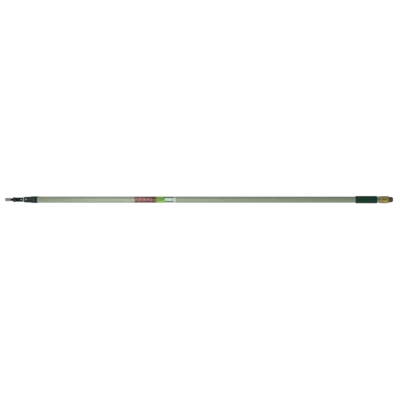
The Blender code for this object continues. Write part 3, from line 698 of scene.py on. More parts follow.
def cap_plastic():
    """The butt cap's olive plastic: streaky where it flowed, with painted shade in the front recess, a
    painted highlight along the rim below it, a darker rear end and pale scuff specks.
    """
    tint = colours()
    made = Finish("cap_olive_plastic", "cap_olive", 0.36, specular=0.45, coat=0.12)
    streaks = made.noise(55.0, (0.5, 1, 1), detail=4.0, warp=1.4)
    fine = made.noise(600.0, detail=3.0)
    angle, along = made.around()
    front, rear = span("butt_cap")
    middle = (front + rear) / 2 + 0.003
    # Painted shade: the front recess, on the -Y side only, is darkened toward the cap's darker tone
    painted_recess_shade = made.math("MULTIPLY", made.inside(along, middle - 0.014, middle + 0.014, 0.003),
                     made.inside(made.math("ABSOLUTE", angle), -1.0, 0.31, 0.06))
    tone = made.mix(made.spread(streaks, 0.35, 0.65), tuple(tint.cap_deep_tone_and_recess_shade), tuple(tint.cap))
    tone = made.mix(made.math("MULTIPLY", painted_recess_shade, 0.85), tone, tuple(tint.cap_deep_tone_and_recess_shade))
    # Painted highlight: a lighter band along the rim below the front recess
    painted_highlight = made.math("MULTIPLY", made.inside(along, middle - 0.012, middle + 0.016, 0.004),
                    made.inside(angle, -0.72, -0.36, 0.07))
    tone = made.mix(made.math("MULTIPLY", painted_highlight, 0.7), tone, darker(tint.cap, 1.55))
    tone = made.mix(made.spread(along, rear - 0.011, rear + 0.001, 0.0, 0.55), tone, (0.06, 0.046, 0.016))
    tone = made.mix(made.spread(fine, 0.64, 0.75, 0.0, 0.25), tone, darker(tint.cap, 1.6))
    made.colour(tone)
    made.roughness(made.spread(fine, 0.3, 0.7, 0.30, 0.46))
    made.bump((fine, 0.00006, 0.35), (streaks, 0.0003, 0.15))
    return made.material


# Pieces that move with the inner tube

class POLE_OT_threaded_tip(bpy.types.Operator):
    """A cast core with a pole thread wound round it."""

    bl_idname = "pole.threaded_tip"
    bl_label = "Threaded Tip"

    def execute(self, context):
        size = context.scene.pole_sizes
        front, stud_rear = span("threaded_tip")
        crest = middle_of("threaded_tip").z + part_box("threaded_tip")[1].z
        root = size.thread_root
        rear = span("tip_neck")[0] - size.fit_gap
        stud = size.stud_radius
        lead = 0.0011
        core = turn([
            (stud_rear, 0, 0), (stud_rear, stud, 0.0004), (rear, stud, 0), (rear, root, 0.0003),
            (front + lead, root, 0.0004), (front, root - lead, 0.0002), (front, 0, 0),
        ], size.facets)

        steps_a_turn = 56
        pitch = size.thread_pitch
        depth = crest - root
        flank_angle = math.radians(14.5)
        flank = depth * math.tan(flank_angle)
        crest_half = pitch / 4 - flank / 2
        sink = 0.0005
        soft = 0.00022
        first = front + lead + crest_half
        last = rear - crest_half - flank
        count = round((last - first) / pitch * steps_a_turn)
        fade = 0.45 * steps_a_turn
        sections = []
        for step in range(count + 1):
            angle = math.tau * step / steps_a_turn
            middle = first + pitch * step / steps_a_turn
            full = smooth_step(0, fade, step) * smooth_step(0, fade, count - step)
            top = root - soft + (depth + soft) * full
            section = []
            for along, out in (
                (-crest_half - flank, root - sink), (-crest_half - flank * 0.85, root + (top - root) * 0.12),
                (-crest_half - flank * 0.1, top - soft), (-crest_half + soft, top),
                (crest_half - soft, top), (crest_half + flank * 0.1, top - soft),
                (crest_half + flank * 0.85, root + (top - root) * 0.12), (crest_half + flank, root - sink),
            ):
                section.append((middle + along, -out * math.cos(angle), out * math.sin(angle)))
            sections.append(section)
        tip = carve(core, loft(sections), "UNION")
        tip = drilled(tip, -REACH, REACH, size.rivet_hole, TO_FRONT, (middle_of("tip_rivet").x, 0, 0))
        keep(tip, "threaded_tip_detailed", Finishes.get("tip"), body="inner_pole", replaced=("threaded_tip",))
        return {"FINISHED"}


class POLE_OT_tip_neck(bpy.types.Operator):
    """The black sleeve between the thread and the collar, with two grooves."""

    bl_idname = "pole.tip_neck"
    bl_label = "Tip Neck"

    def execute(self, context):
        size = context.scene.pole_sizes
        front, rear = span("tip_neck")
        radius = radius_of("tip_neck")
        bore = size.stud_radius + size.fit_gap
        corners = [(rear, radius, size.fillet)]
        for share in (0.68, 0.36):
            corners += groove(front + (rear - front) * share, 0.0009, 0.0006, radius, 0.0005)
        corners += [(front, radius, size.fillet), (front, bore, 0), (rear, bore, 0)]
        keep(turn(corners, size.facets), "tip_neck_detailed", Finishes.get("neck"),
             body="inner_pole", replaced=("tip_neck",))
        return {"FINISHED"}


class POLE_OT_tip_collar(bpy.types.Operator):
    """The flared collar with a scalloped rim."""

    bl_idname = "pole.tip_collar"
    bl_label = "Tip Collar"

    def execute(self, context):
        size = context.scene.pole_sizes
        front, rear = span("tip_collar")
        radius = radius_of("tip_collar")
        bore = size.stud_radius + size.fit_gap
        rim_front = front + 0.0012
        rim_rear = rim_front + 0.0045
        tail = 0.0114
        scallops = 28
        scallop_depth = 0.00035

        def relief(along, angle):
            on_rim = window(along, front + 0.0004, rim_front + 0.0004, rim_rear - 0.0006, rim_rear + 0.0006)
            return -scallop_depth * on_rim * flute(angle, scallops)

        corners = [
            (rear, tail, 0.0008), (rear - 0.0035, tail + 0.0003, 0.002), (rim_rear, radius, 0.0012),
            (rim_front, radius, 0.0006), (front, radius - 0.0012, 0.0004), (front, bore, 0), (rear, bore, 0)]
        shape = turn(corners, 3 * size.facets, 0.0006, relief, radius * 0.93)
        keep(shape, "tip_collar_detailed", Finishes.get("collar"),
             body="inner_pole", replaced=("tip_collar",))
        return {"FINISHED"}


class POLE_OT_tip_ferrule(bpy.types.Operator):
    """The ferrule: a plug with moulded pockets in front and a bare tail inside the tube."""

    bl_idname = "pole.tip_ferrule"
    bl_label = "Tip Ferrule"

    def execute(self, context):
        size = context.scene.pole_sizes
        front, rear = span("tip_ferrule")
        tube_front = span("inner_tube")[0]
        radius = radius_of("tip_ferrule")
        bore = size.stud_radius + size.fit_gap
        stud_rear = span("threaded_tip")[1] + size.fit_gap
        pockets = [math.radians(angle) for angle in (55, 125, -125, -55)]
        pocket_middle = (front + tube_front) / 2 - 0.001
        pocket_depth = 0.0006
        pocket_half_straight = 0.0095
        pocket_half_width = 0.0030

        def relief(along, angle):
            change = 0.0
            for pocket in pockets:
                across = angle_between(angle, pocket) * radius
                change -= pocket_depth * stadium(
                    along - pocket_middle, across, pocket_half_straight, pocket_half_width, 0.0005)
            return change

        corners = [
            (rear, 0, 0), (rear, radius, 0.0010), (tube_front + 0.0003, radius, 0),
            (tube_front - 0.0008, radius, 0), *groove(front + 0.0022, 0.0008, 0.0004, radius, 0.0004),
            (front, radius, size.fillet), (front, bore, 0), (stud_rear, bore, 0), (stud_rear, 0, 0)]
        shape = turn(corners, size.facets, 0.0012, relief, radius * 0.99)
        rivet = (middle_of("tip_rivet").x, 0, 0)
        shape = drilled(shape, -REACH, REACH, size.rivet_hole, TO_FRONT, rivet)
        pin = (middle_of("lock_pin").x, 0, 0)
        shape = drilled(shape, radius - 0.003, REACH, size.pin_hole, TO_FRONT, pin)
        keep(shape, "tip_ferrule_detailed", Finishes.get("ferrule"),
             body="inner_pole", replaced=("tip_ferrule",))
        return {"FINISHED"}


def rivet_head(seat, radius, height, shank, end):
    """Corners of a domed head on a shank that runs to its end."""
    dome = []
    steps = 6
    for step in range(steps + 1):
        turn_by = math.pi / 2 * step / steps
        dome.append((seat + height * 0.25 + height * 0.75 * math.cos(turn_by), radius * math.sin(turn_by), 0))
    return [*dome, (seat, radius, 0.00015), (seat, shank, 0), (end, shank, 0)]


class POLE_OT_tip_rivet(bpy.types.Operator):
    """The rivet across the ferrule, with a domed head at each end."""

    bl_idname = "pole.tip_rivet"
    bl_label = "Tip Rivet"

    def execute(self, context):
        size = context.scene.pole_sizes
        low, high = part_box("tip_rivet")
        head = (high.x - low.x) / 2
        top = high.y
        seat = radius_of("tip_ferrule") + size.fit_gap
        half = rivet_head(seat, head, top - seat, 0.002, 0)[:-1]
        corners = half + [(-along, out, rounding) for along, out, rounding in reversed(half)]
        shape = place(turn(corners, size.small_facets), TO_FRONT, (middle_of("tip_rivet").x, 0, 0))
        keep(shape, "tip_rivet_domed", Finishes.get("steel"), body="inner_pole", replaced=("tip_rivet",))
        return {"FINISHED"}


class POLE_OT_inner_tube(bpy.types.Operator):
    """The sliding tube with its row of index holes."""

    bl_idname = "pole.inner_tube"
    bl_label = "Inner Tube"

    def execute(self, context):
        size = context.scene.pole_sizes
        front, rear = span("inner_tube")
        radius = radius_of("inner_tube")
        bore = radius - size.tube_wall
        shape = turn(pipe(front, rear, radius, bore), size.facets)
        reach = next(joint for joint in frame["joints"] if joint["name"] == "pole_slide")["range_m"][1]
        pin = middle_of("lock_pin").x
        holes = [
            rod(0, REACH, size.hole_radius, TO_FRONT, (pin + step * size.hole_pitch, 0, 0), size.small_facets)
            for step in range(round(reach / size.hole_pitch) + 1)]
        shape = carve(shape, join(*holes))
        keep(shape, "inner_tube_drawn", Finishes.get("aluminium"),
             body="inner_pole", replaced=("inner_tube",))
        return {"FINISHED"}


class POLE_OT_guide_bush(bpy.types.Operator):
    """The nylon bush at the inner tube's rear end, with grease grooves."""

    bl_idname = "pole.guide_bush"
    bl_label = "Guide Bush"

    def execute(self, context):
        size = context.scene.pole_sizes
        front, rear = span("guide_bush")
        radius = radius_of("guide_bush")
        flange = span("inner_tube")[1] + size.fit_gap
        spigot = radius_of("inner_tube") - size.tube_wall - size.fit_gap
        bore = 0.008
        corners = [(rear, radius, 0.0008)]
        for share in (0.75, 0.5, 0.25):
            corners += groove(flange + (rear - flange) * share, 0.0012, 0.0008, radius, 0.0006)
        corners += [
            (flange, radius, 0.0006), (flange, spigot, 0), (front, spigot, 0.0005), (front, bore, 0),
            (rear, bore, 0)]
        keep(turn(corners, size.facets), "guide_bush_grooved", Finishes.get("nylon"),
             body="inner_pole", replaced=("guide_bush",))
        return {"FINISHED"}


# Pieces that stay with the outer tube

class POLE_OT_outer_tube(bpy.types.Operator):
    """The long outer tube, with a slit under the cap's split rim."""

    bl_idname = "pole.outer_tube"
    bl_label = "Outer Tube"

    def execute(self, context):
        size = context.scene.pole_sizes
        front, rear = span("outer_tube")
        radius = radius_of("outer_tube")
        bore = radius - size.tube_wall
        shape = turn(pipe(front, rear, radius, bore), size.facets, 0.12)
        half = size.slit / 2
        cap_front = span("butt_cap")[0]
        slit_front = span("grip")[1] - 0.003
        shape = carve(shape, block(
            (slit_front, -2 * radius, -half), (cap_front + 0.012, 0, half), half * 0.5))
        keep(shape, "outer_tube_fibreglass", Finishes.get("fibreglass"),
             body="outer_pole", replaced=("outer_tube",))
        return {"FINISHED"}


def paint_red(film):
    """A red panel: a row of pale blocks, a dark line under them and a shorter one over them."""
    tint = colours()
    angle, along = film.around()
    start = span("label")[0]
    place_in_row = film.math("SUBTRACT", along, start + 0.0048)
    block_length = 0.0203
    beat = film.math("FRACT", film.math("DIVIDE", place_in_row, block_length))
    blocks = film.inside(beat, 0.20, 0.62, 0.03)
    row = film.inside(angle, -0.02, 0.30, 0.04)
    row_along = film.inside(place_in_row, 0.0, 4 * block_length, 0.0003)
    marks = film.math("MULTIPLY", film.math("MULTIPLY", blocks, row), row_along)
    cloud = film.spread(film.noise(70.0, detail=2.0), 0.42, 0.60)
    ground = film.mix(cloud, darker(tint.label_red, 0.85), darker(tint.label_red, 1.45))
    tone = film.mix(film.math("MULTIPLY", marks, 0.9), ground, tuple(tint.label_pink))
    upper = film.inside(angle, 0.55, 0.92, 0.03)
    upper = film.math("MULTIPLY", upper, film.inside(along, start + 0.050, start + 0.095, 0.0003))
    line = film.math("MAXIMUM", upper, film.inside(angle, -0.92, -0.55, 0.03))
    return film.mix(film.math("MULTIPLY", line, 0.6), tone, darker(tint.label_red, 0.25))


def plain_print(film, colour, shade_to):
    """A plain strip, a little darker in patches."""
    return film.mix(film.spread(film.noise(120.0), 0.3, 0.7), tuple(colour), darker(colour, shade_to))


def paint_brown(film):
    """A plain red-brown strip."""
    return plain_print(film, colours().label_brown, 0.8)


def paint_moss(film):
    """A plain strip between olive and green."""
    return plain_print(film, colours().label_moss, 0.9)


def paint_border(film):
    """The film's plain pale ground."""
    return plain_print(film, colours().label_border, 0.9)


def paint_olive(film):
    """Dark olive with two fine paler bars across."""
    tint = colours()
    along = film.around()[1]
    bar_pitch = 0.0043
    bars = film.inside(film.math("FRACT", film.math("DIVIDE", along, bar_pitch)), 0.70, 0.95, 0.05)
    return film.mix(bars, tuple(tint.label_olive), darker(tint.label_olive, 3.0))


def paint_green(film):
    """Green, paler at its edges, with a darker wave that sweeps up toward the butt."""
    tint = colours()
    angle, along = film.around()
    start = span("label")[0]
    share = film.spread(along, start + 0.117, start + 0.158)
    crest = film.math("SUBTRACT", film.math("MULTIPLY", film.math("MULTIPLY", share, share), 0.65), 0.12)
    below = film.inside(film.math("SUBTRACT", angle, crest), -0.34, 0.0, 0.04)
    rim = film.inside(film.math("ABSOLUTE", angle), 0.60, 1.30, 0.08)
    ground = film.mix(rim, tuple(tint.label_green), darker(tint.label_green, 1.5))
    return film.mix(below, ground, darker(tint.label_green, 0.55))


def paint_mint(film):
    """Pale mint with a dark line along each edge and a small dark block."""
    tint = colours()
    angle, along = film.around()
    start = span("label")[0]
    lines = film.inside(film.math("ABSOLUTE", angle), 0.50, 0.94, 0.03)
    mark = film.math(
        "MULTIPLY", film.inside(along, start + 0.192, start + 0.200, 0.0003),
        film.inside(angle, -0.35, 0.05, 0.03))
    marks = film.math("MAXIMUM", lines, film.math("MULTIPLY", mark, 0.45))
    return film.mix(film.math("MULTIPLY", marks, 0.9), tuple(tint.label_mint), (0.03, 0.06, 0.035))


class POLE_OT_label(bpy.types.Operator):
    """A printed film round the tube: three panels, each with its own print, and a lap at the back."""

    bl_idname = "pole.label"
    bl_label = "Label"

    def execute(self, context):
        front, rear = span("label")
        glue = 0.00004
        film = 0.00016
        inner = radius_of("outer_tube") + glue
        outer = inner + film
        lap = 0.00022
        panels = [
            (0.002, "border"), (0.093, "red"), (0.107, "brown"), (0.112, "olive"), (0.117, "moss"),
            (0.158, "green"), (0.204, "mint"), (rear - front, "border")]
        paints = {
            "border": paint_border, "red": paint_red, "brown": paint_brown, "olive": paint_olive,
            "moss": paint_moss, "green": paint_green, "mint": paint_mint}
        names = list(paints)
        stations = [front]
        kinds = []
        for end, kind in panels:
            start = stations[-1]
            pieces = max(1, round((front + end - start) / 0.01))
            for step in range(1, pieces + 1):
                stations.append(start + (front + end - start) * step / pieces)
                kinds.append(names.index(kind))
        facets = 120
        half_open = math.radians(1.2)
        shape = bmesh.new()
        rows = []
        for depth in (outer, inner):
            grid = []
            for step in range(facets + 1):
                angle = -math.pi + half_open + (math.tau - 2 * half_open) * step / facets
                lift = lap * smooth_step(facets - 6, facets, step)
                out = depth + lift
                grid.append([shape.verts.new((along, -out * math.cos(angle), out * math.sin(angle)))
                             for along in stations])
            rows.append(grid)
        over, under = rows
        last = len(stations) - 1
        for step in range(facets):
            for index in range(last):
                for grid in (over, under):
                    here, after = grid[step], grid[step + 1]
                    face = shape.faces.new((here[index], here[index + 1], after[index + 1], after[index]))
                    face.material_index = kinds[index]
            for index in (0, last):
                shape.faces.new(
                    (over[step][index], over[step + 1][index], under[step + 1][index], under[step][index]))
        for step in (0, facets):
            for index in range(last):
                shape.faces.new(
                    (over[step][index], over[step][index + 1], under[step][index + 1], under[step][index]))
        piece = keep(shape, "label_film_printed", None, body="outer_pole", replaced=("label",))
        for kind in names:
            piece.data.materials.append(label_film("label_" + kind, paints[kind]))
        return {"FINISHED"}


class POLE_OT_lock_nose(bpy.types.Operator):
    """The lock's nose: a tapered sleeve with a lip, fine rings and the pin's hole."""

    bl_idname = "pole.lock_nose"
    bl_label = "Lock Nose"

    def execute(self, context):
        size = context.scene.pole_sizes
        front, tail_rear = span("lock_nose")
        housing_front = span("lock_housing")[0]
        rear = housing_front - size.fit_gap
        radius = radius_of("lock_nose")
        bore = radius_of("inner_tube") + 0.00035
        tail = radius_of("front_sleeve")
        lip = 0.00085
        end = bore + lip
        flutes = 18
        flute_depth = 0.00045
        boss_radius = 0.0062
        boss_height = 0.0003
        pin = middle_of("lock_pin").x

        def relief(along, angle):
            on_body = window(along, front + 0.019, front + 0.023, rear - 0.0035, rear - 0.0015)
            clear_of_lever = smooth_step(0.45, 0.60, abs(angle))
            from_pin = math.hypot(along - pin, angle * bore)
            boss = smooth_step(boss_radius, boss_radius - 0.0006, from_pin)
            fluted = on_body * clear_of_lever * flute(angle, flutes)
            return boss_height * boss - flute_depth * fluted

        corners = [
            (tail_rear, tail, 0.0004), (rear, tail, 0), (rear, radius, 0.0004),
            (rear - 0.0012, radius, 0.0002), (front + 0.024, end + 0.0012, 0.002),
            (front + 0.0030, end + 0.0002, 0.0002), (front + 0.0026, end - 0.0001, 0.0002),
            (front + 0.0021, end + 0.0002, 0.0002), (front + 0.0010, end, 0.0004),
            (front, end - 0.0004, 0.0002), (front, bore, 0.0001), (tail_rear, bore, 0)]
        shape = turn(corners, 2 * size.facets, 0.0008, relief, end * 0.985)
        shape = drilled(shape, 0, REACH, size.pin_hole, TO_FRONT, (pin, 0, 0))
        keep(shape, "lock_nose_detailed", Finishes.get("lock"), body="outer_pole", replaced=("lock_nose",))
        return {"FINISHED"}


class POLE_OT_lock_housing(bpy.types.Operator):
    """The lock's housing: a ribbed collar with two cheeks that hold the lever."""

    bl_idname = "pole.lock_housing"
    bl_label = "Lock Housing"

    def execute(self, context):
        size = context.scene.pole_sizes
        front, rear = span("lock_housing")
        radius = radius_of("lock_housing")
        bore = radius_of("outer_tube") + size.fit_gap
        tube_front = span("outer_tube")[0] - size.fit_gap
        lip = radius_of("front_sleeve") + size.fit_gap
        pivot = middle_of("lever_pivot_pin")
        lever_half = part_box("lock_lever")[1].z
        channel_half = lever_half + size.fit_gap
        cheek_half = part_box("lever_pivot_pin")[1].z + size.fit_gap
        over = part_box("lock_housing")[0].y
        groove_rear = rear - 0.0095
        groove_front = groove_rear - 0.0014
        groove_depth = 0.0006
        ribs = 40
        rib_depth = 0.00035

        def relief(along, angle):
            clear_of_lever = smooth_step(0.75, 0.85, abs(angle))
            clear_of_screws = smooth_step(0.30, 0.36, abs(abs(angle) - math.radians(135)))
            before = window(along, front + 0.003, front + 0.005, groove_front - 0.0022, groove_front - 0.0008)
            behind = window(along, groove_rear + 0.0012, groove_rear + 0.0022, rear - 0.0022, rear - 0.0012)
            return -rib_depth * clear_of_lever * flute(angle, ribs) * (before + behind * clear_of_screws)

        corners = [
            (rear, 0, 0), (rear, radius, 0.0006), (groove_rear, radius, 0.0003),
            (groove_rear, radius - groove_depth, 0.0002), (groove_front, radius - groove_depth, 0.0002),
            (groove_front, radius, 0.0003), (front, radius - 0.0006, 0.0008), (front, 0, 0)]
        shape = turn(corners, 2 * size.facets, 0.0008, relief, radius - 0.0011)

        ear = 0.0032
        top = -over
        out = -pivot.y
        cheek_rear = rear - 0.005
        root = -0.011
        outline = rounded([
            (front + 0.0003, root, 0), (front + 0.0003, -(out + 0.0012), 0.0012),
            (pivot.x - ear, -top, 0.0016), (pivot.x + ear, -top, 0.0020),
            (cheek_rear, -(radius + 0.0002), 0.0030), (cheek_rear, root, 0)], True, 5)
        shape = carve(shape, slab(outline, cheek_half, 0.0006), "UNION")
        before = front - 0.004
        behind = rear + 0.004
        shape = carve(shape, turn([
            (behind, 0, 0), (behind, bore, 0), (tube_front, bore, 0), (tube_front, lip, 0), (before, lip, 0),
            (before, 0, 0)], size.facets))
        floor = bore + 0.0009
        shape = carve(shape, block((before, -0.035, -channel_half), (behind, -floor, channel_half)))
        shape = drilled(shape, -REACH, REACH, size.pivot_hole, UPWARD, pivot)
        for name in ("housing_screw_upper", "housing_screw_lower"):
            middle, outward = stand(name)
            spot = radius * math.cos(math.pi / CAD_FACETS) - 0.0004
            spot_radius = 0.0030
            hole = [
                (REACH, 0, 0), (REACH, spot_radius, 0), (spot, spot_radius, 0), (spot, size.screw_hole, 0),
                (bore - 0.002, size.screw_hole, 0), (bore - 0.002, 0, 0)]
            shape = carve(shape, place(turn(hole, size.small_facets), outward, (middle.x, 0, 0)))
        keep(shape, "lock_housing_detailed", Finishes.get("lock"),
             body="outer_pole", replaced=("lock_housing",))
        return {"FINISHED"}


class POLE_OT_housing_screws(bpy.types.Operator):
    """Two pan-head screws with cross recesses at the back of the housing."""

    bl_idname = "pole.housing_screws"
    bl_label = "Housing Screws"

    def execute(self, context):
        size = context.scene.pole_sizes
        for name in ("housing_screw_upper", "housing_screw_lower"):
            middle, outward = stand(name)
            seat = radius_of("lock_housing") * math.cos(math.pi / CAD_FACETS) - 0.0001
            end = radius_of("front_sleeve") + size.fit_gap
            shape = turn([*rivet_head(seat, 0.0027, 0.0012, 0.0015, end), (end, 0, 0)], size.small_facets)
            for wide, high in ((0.0016, 0.00035), (0.00035, 0.0016)):
                shape = carve(shape, block(
                    (seat + 0.00055, -wide, -high), (seat + 0.002, wide, high)))
            keep(place(shape, outward, (middle.x, 0, 0)), name + "_pan_head", Finishes.get("steel"),
                 body="outer_pole", replaced=(name,))
        return {"FINISHED"}


class POLE_OT_lever_pivot_pin(bpy.types.Operator):
    """The lever's pivot pin with chamfered ends."""

    bl_idname = "pole.lever_pivot_pin"
    bl_label = "Lever Pivot Pin"

    def execute(self, context):
        size = context.scene.pole_sizes
        low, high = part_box("lever_pivot_pin")
        half = (high.z - low.z) / 2
        radius = (high.x - low.x) / 2
        chamfer = 0.0004
        shape = turn([
            (half, 0, 0), (half, radius - chamfer, 0.0001), (half - chamfer, radius, 0.0001),
            (-half + chamfer, radius, 0.0001), (-half, radius - chamfer, 0.0001), (-half, 0, 0),
        ], size.small_facets)
        keep(place(shape, UPWARD, middle_of("lever_pivot_pin")), "lever_pivot_pin_chamfered",
             Finishes.get("steel"), body="outer_pole", replaced=("lever_pivot_pin",))
        return {"FINISHED"}


class POLE_OT_lever_spring(bpy.types.Operator):
    """The leaf spring under the lever's pad, bent in a smooth curve."""

    bl_idname = "pole.lever_spring"
    bl_label = "Lever Spring"

    def execute(self, context):
        low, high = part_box("lever_spring")
        thickness = 0.00035
        foot_end = low.x + (high.x - low.x) * 0.43
        lower = [(low.x, high.y), (foot_end, high.y)]
        steps = 8
        for step in range(1, steps + 1):
            share = step / steps
            rise = smooth_step(0, 1, share)
            lower.append((
                foot_end + (high.x - foot_end) * share, high.y + (low.y + thickness - high.y) * rise))
        upper = [(along, across - thickness) for along, across in reversed(lower)]
        piece = keep(slab(lower + upper, high.z, 0.00008), "lever_spring_leaf", Finishes.get("spring"),
                     body="outer_pole", replaced=("lever_spring",))
        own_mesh(piece)
        return {"FINISHED"}


class POLE_OT_retaining_ring(bpy.types.Operator):
    """The pale ring behind the housing, with a shallow waist."""

    bl_idname = "pole.retaining_ring"
    bl_label = "Retaining Ring"

    def execute(self, context):
        size = context.scene.pole_sizes
        front, rear = span("retaining_ring")
        radius = radius_of("retaining_ring")
        bore = radius_of("outer_tube") + size.fit_gap
        waist = 0.00035
        half = (rear - front) / 2
        corners = [
            (rear, radius, 0.0005),
            *groove((front + rear) / 2, half - 0.0016, half - 0.0020, radius, waist, 0.0003),
            (front, radius, 0.0005), (front, bore, 0), (rear, bore, 0)]
        keep(turn(corners, size.facets), "retaining_ring_waisted", Finishes.get("ring"),
             body="outer_pole", replaced=("retaining_ring",))
        return {"FINISHED"}


class POLE_OT_grip(bpy.types.Operator):
    """The rubber grip: a bead at each end, a groove and a row of dimples in front, and fine flutes."""

    bl_idname = "pole.grip"
    bl_label = "Grip"

    def execute(self, context):
        size = context.scene.pole_sizes
        front, rear = span("grip")
        bead = radius_of("grip")
        radius = bead - 0.0004
        bore = radius_of("outer_tube") + size.fit_gap
        bead_length = 0.0066
        slope = 0.0008
        groove_middle = front + 0.0105
        groove_depth = 0.0011
        dimples = front + 0.0225
        dimple_count = 12
        dimple_radius = 0.0021
        dimple_depth = 0.0008
        flutes = 36
        flute_depth = 0.00028
        flutes_front = dimples + 0.007
        flutes_rear = rear - 0.011

        def relief(along, angle):
            change = -groove_depth * smooth_step(0.0022, 0.0012, abs(along - groove_middle))
            nearest = round(angle / math.tau * dimple_count) * math.tau / dimple_count
            across = angle_between(angle, nearest) * radius
            from_dimple = math.hypot(along - dimples, across)
            change -= dimple_depth * smooth_step(dimple_radius, dimple_radius - 0.0008, from_dimple)
            fluted = window(along, flutes_front, flutes_front + 0.003, flutes_rear - 0.003, flutes_rear)
            return change - flute_depth * fluted * flute(angle, flutes, 3)

        corners = [
            (rear, radius - 0.0008, 0.0008), (rear - 0.0010, bead, 0.0012),
            (rear - bead_length, bead, 0.0010), (rear - bead_length - slope, radius, 0.0006),
            (front + bead_length + slope, radius, 0.0006), (front + bead_length, bead, 0.0010),
            (front + 0.0010, bead, 0.0012), (front, radius - 0.0008, 0.0008), (front, bore, 0),
            (rear, bore, 0)]
        facets_a_flute = 6
        shape = turn(corners, flutes * facets_a_flute, 0.0009, relief, radius * 0.985)
        keep(shape, "grip_fluted", Finishes.get("grip"), body="outer_pole", replaced=("grip",))
        return {"FINISHED"}


class POLE_OT_butt_cap(bpy.types.Operator):
    """The butt cap: oval recesses front and back, a split in its front rim and tapered ends."""

    bl_idname = "pole.butt_cap"
    bl_label = "Butt Cap"

    def execute(self, context):
        size = context.scene.pole_sizes
        front, rear = span("butt_cap")
        radius = radius_of("butt_cap")
        bore = radius_of("outer_tube") + size.fit_gap
        wall_front = span("outer_tube")[1] + size.fit_gap
        stem = 0.0083
        recess_front = front + 0.012
        recess_rear = rear - 0.008
        middle = (recess_front + recess_rear) / 2
        recess_depth = 0.0014
        recess_half_width = 0.0060
        half_straight = (recess_rear - recess_front) / 2 - recess_half_width
        rim_height = 0.0003
        seam_height = 0.00012
        seat_radius = 0.0034
        seat_depth = 0.0003
        rivet = middle_of("cap_rivet")
        rivet_angle = math.atan2(rivet.z, -rivet.y)

        def relief(along, angle):
            change = 0.0
            for side in (0, math.pi):
                across = angle_between(angle, side) * radius
                change -= recess_depth * stadium(
                    along - middle, across, half_straight, recess_half_width, 0.0007)
                change += rim_height * (
                    stadium(along - middle, across, half_straight, recess_half_width + 0.0018, 0.0004)
                    - stadium(along - middle, across, half_straight, recess_half_width + 0.0006, 0.0004))
            from_seam = angle_between(2 * angle, math.pi) / 2 * radius
            change += seam_height * smooth_step(0.0006, 0.0, abs(from_seam))
            from_rivet = math.hypot(along - rivet.x, angle_between(angle, rivet_angle) * radius)
            return change - seat_depth * smooth_step(seat_radius, seat_radius - 0.0005, from_rivet)

        corners = [
            (rear, radius - 0.0026, 0.0010), (rear - 0.006, radius, 0.0030), (front + 0.009, radius, 0.0040),
            (front, radius - 0.0009, 0.0005), (front, bore, 0.0001), (wall_front, bore, 0),
            (wall_front, stem, 0), (rear, stem, 0.0003)]
        shape = turn(corners, 3 * size.facets, 0.0006, relief, radius - 0.0012)
        half = size.slit / 2
        shape = carve(shape, block((front - 0.005, -0.03, -half), (front + 0.009, -0.012, half), 0.0003))
        keep(shape, "butt_cap_detailed", Finishes.get("cap"), body="outer_pole", replaced=("butt_cap",))
        return {"FINISHED"}


class POLE_OT_cap_rivet(bpy.types.Operator):
    """The small rivet low on the cap's front."""

    bl_idname = "pole.cap_rivet"
    bl_label = "Cap Rivet"

    def execute(self, context):
        size = context.scene.pole_sizes
        middle, outward = stand("cap_rivet")
        seat = radius_of("butt_cap") - 0.0002
        end = radius_of("outer_tube") - size.tube_wall - size.fit_gap
        shape = turn([*rivet_head(seat, 0.0022, 0.0013, 0.0016, end), (end, 0, 0)], size.small_facets)
        keep(place(shape, outward, (middle.x, 0, 0)), "cap_rivet_domed", Finishes.get("black_steel"),
             body="outer_pole", replaced=("cap_rivet",))
        return {"FINISHED"}


class POLE_OT_butt_bumper(bpy.types.Operator):
    """The rubber bumper: a domed foot with a ring groove, on a stem inside the tube."""

    bl_idname = "pole.butt_bumper"
    bl_label = "Butt Bumper"

    def execute(self, context):
        size = context.scene.pole_sizes
        stem_front, rear = span("butt_bumper")
        radius = radius_of("butt_bumper")
        front = span("butt_cap")[1] + size.fit_gap
        stem = 0.008
        corners = [
            (rear, 0, 0), (rear, radius - 0.0075, 0.0022), (rear - 0.0020, radius - 0.0036, 0.0022),
            (rear - 0.0060, radius - 0.0008, 0.0026), (front + 0.0105, radius, 0.0010),
            *groove(front + 0.0040, 0.0010, 0.0006, radius, 0.0006, 0.0003), (front, radius, 0.0006),
            (front, stem, 0), (stem_front, stem, 0.0010), (stem_front, 0, 0)]
        treads = 24
        tread_depth = 0.0003

        def relief(along, angle):
            on_dome = window(along, rear - 0.0095, rear - 0.0080, rear - 0.0025, rear - 0.0010)
            return -tread_depth * on_dome * flute(angle, treads, 4)

        shape = turn(corners, 2 * size.facets, 0.0008, relief, radius * 0.6)
        keep(shape, "butt_bumper_domed", Finishes.get("bumper"), body="outer_pole", replaced=("butt_bumper",))
        return {"FINISHED"}


# Pieces that move with the lever

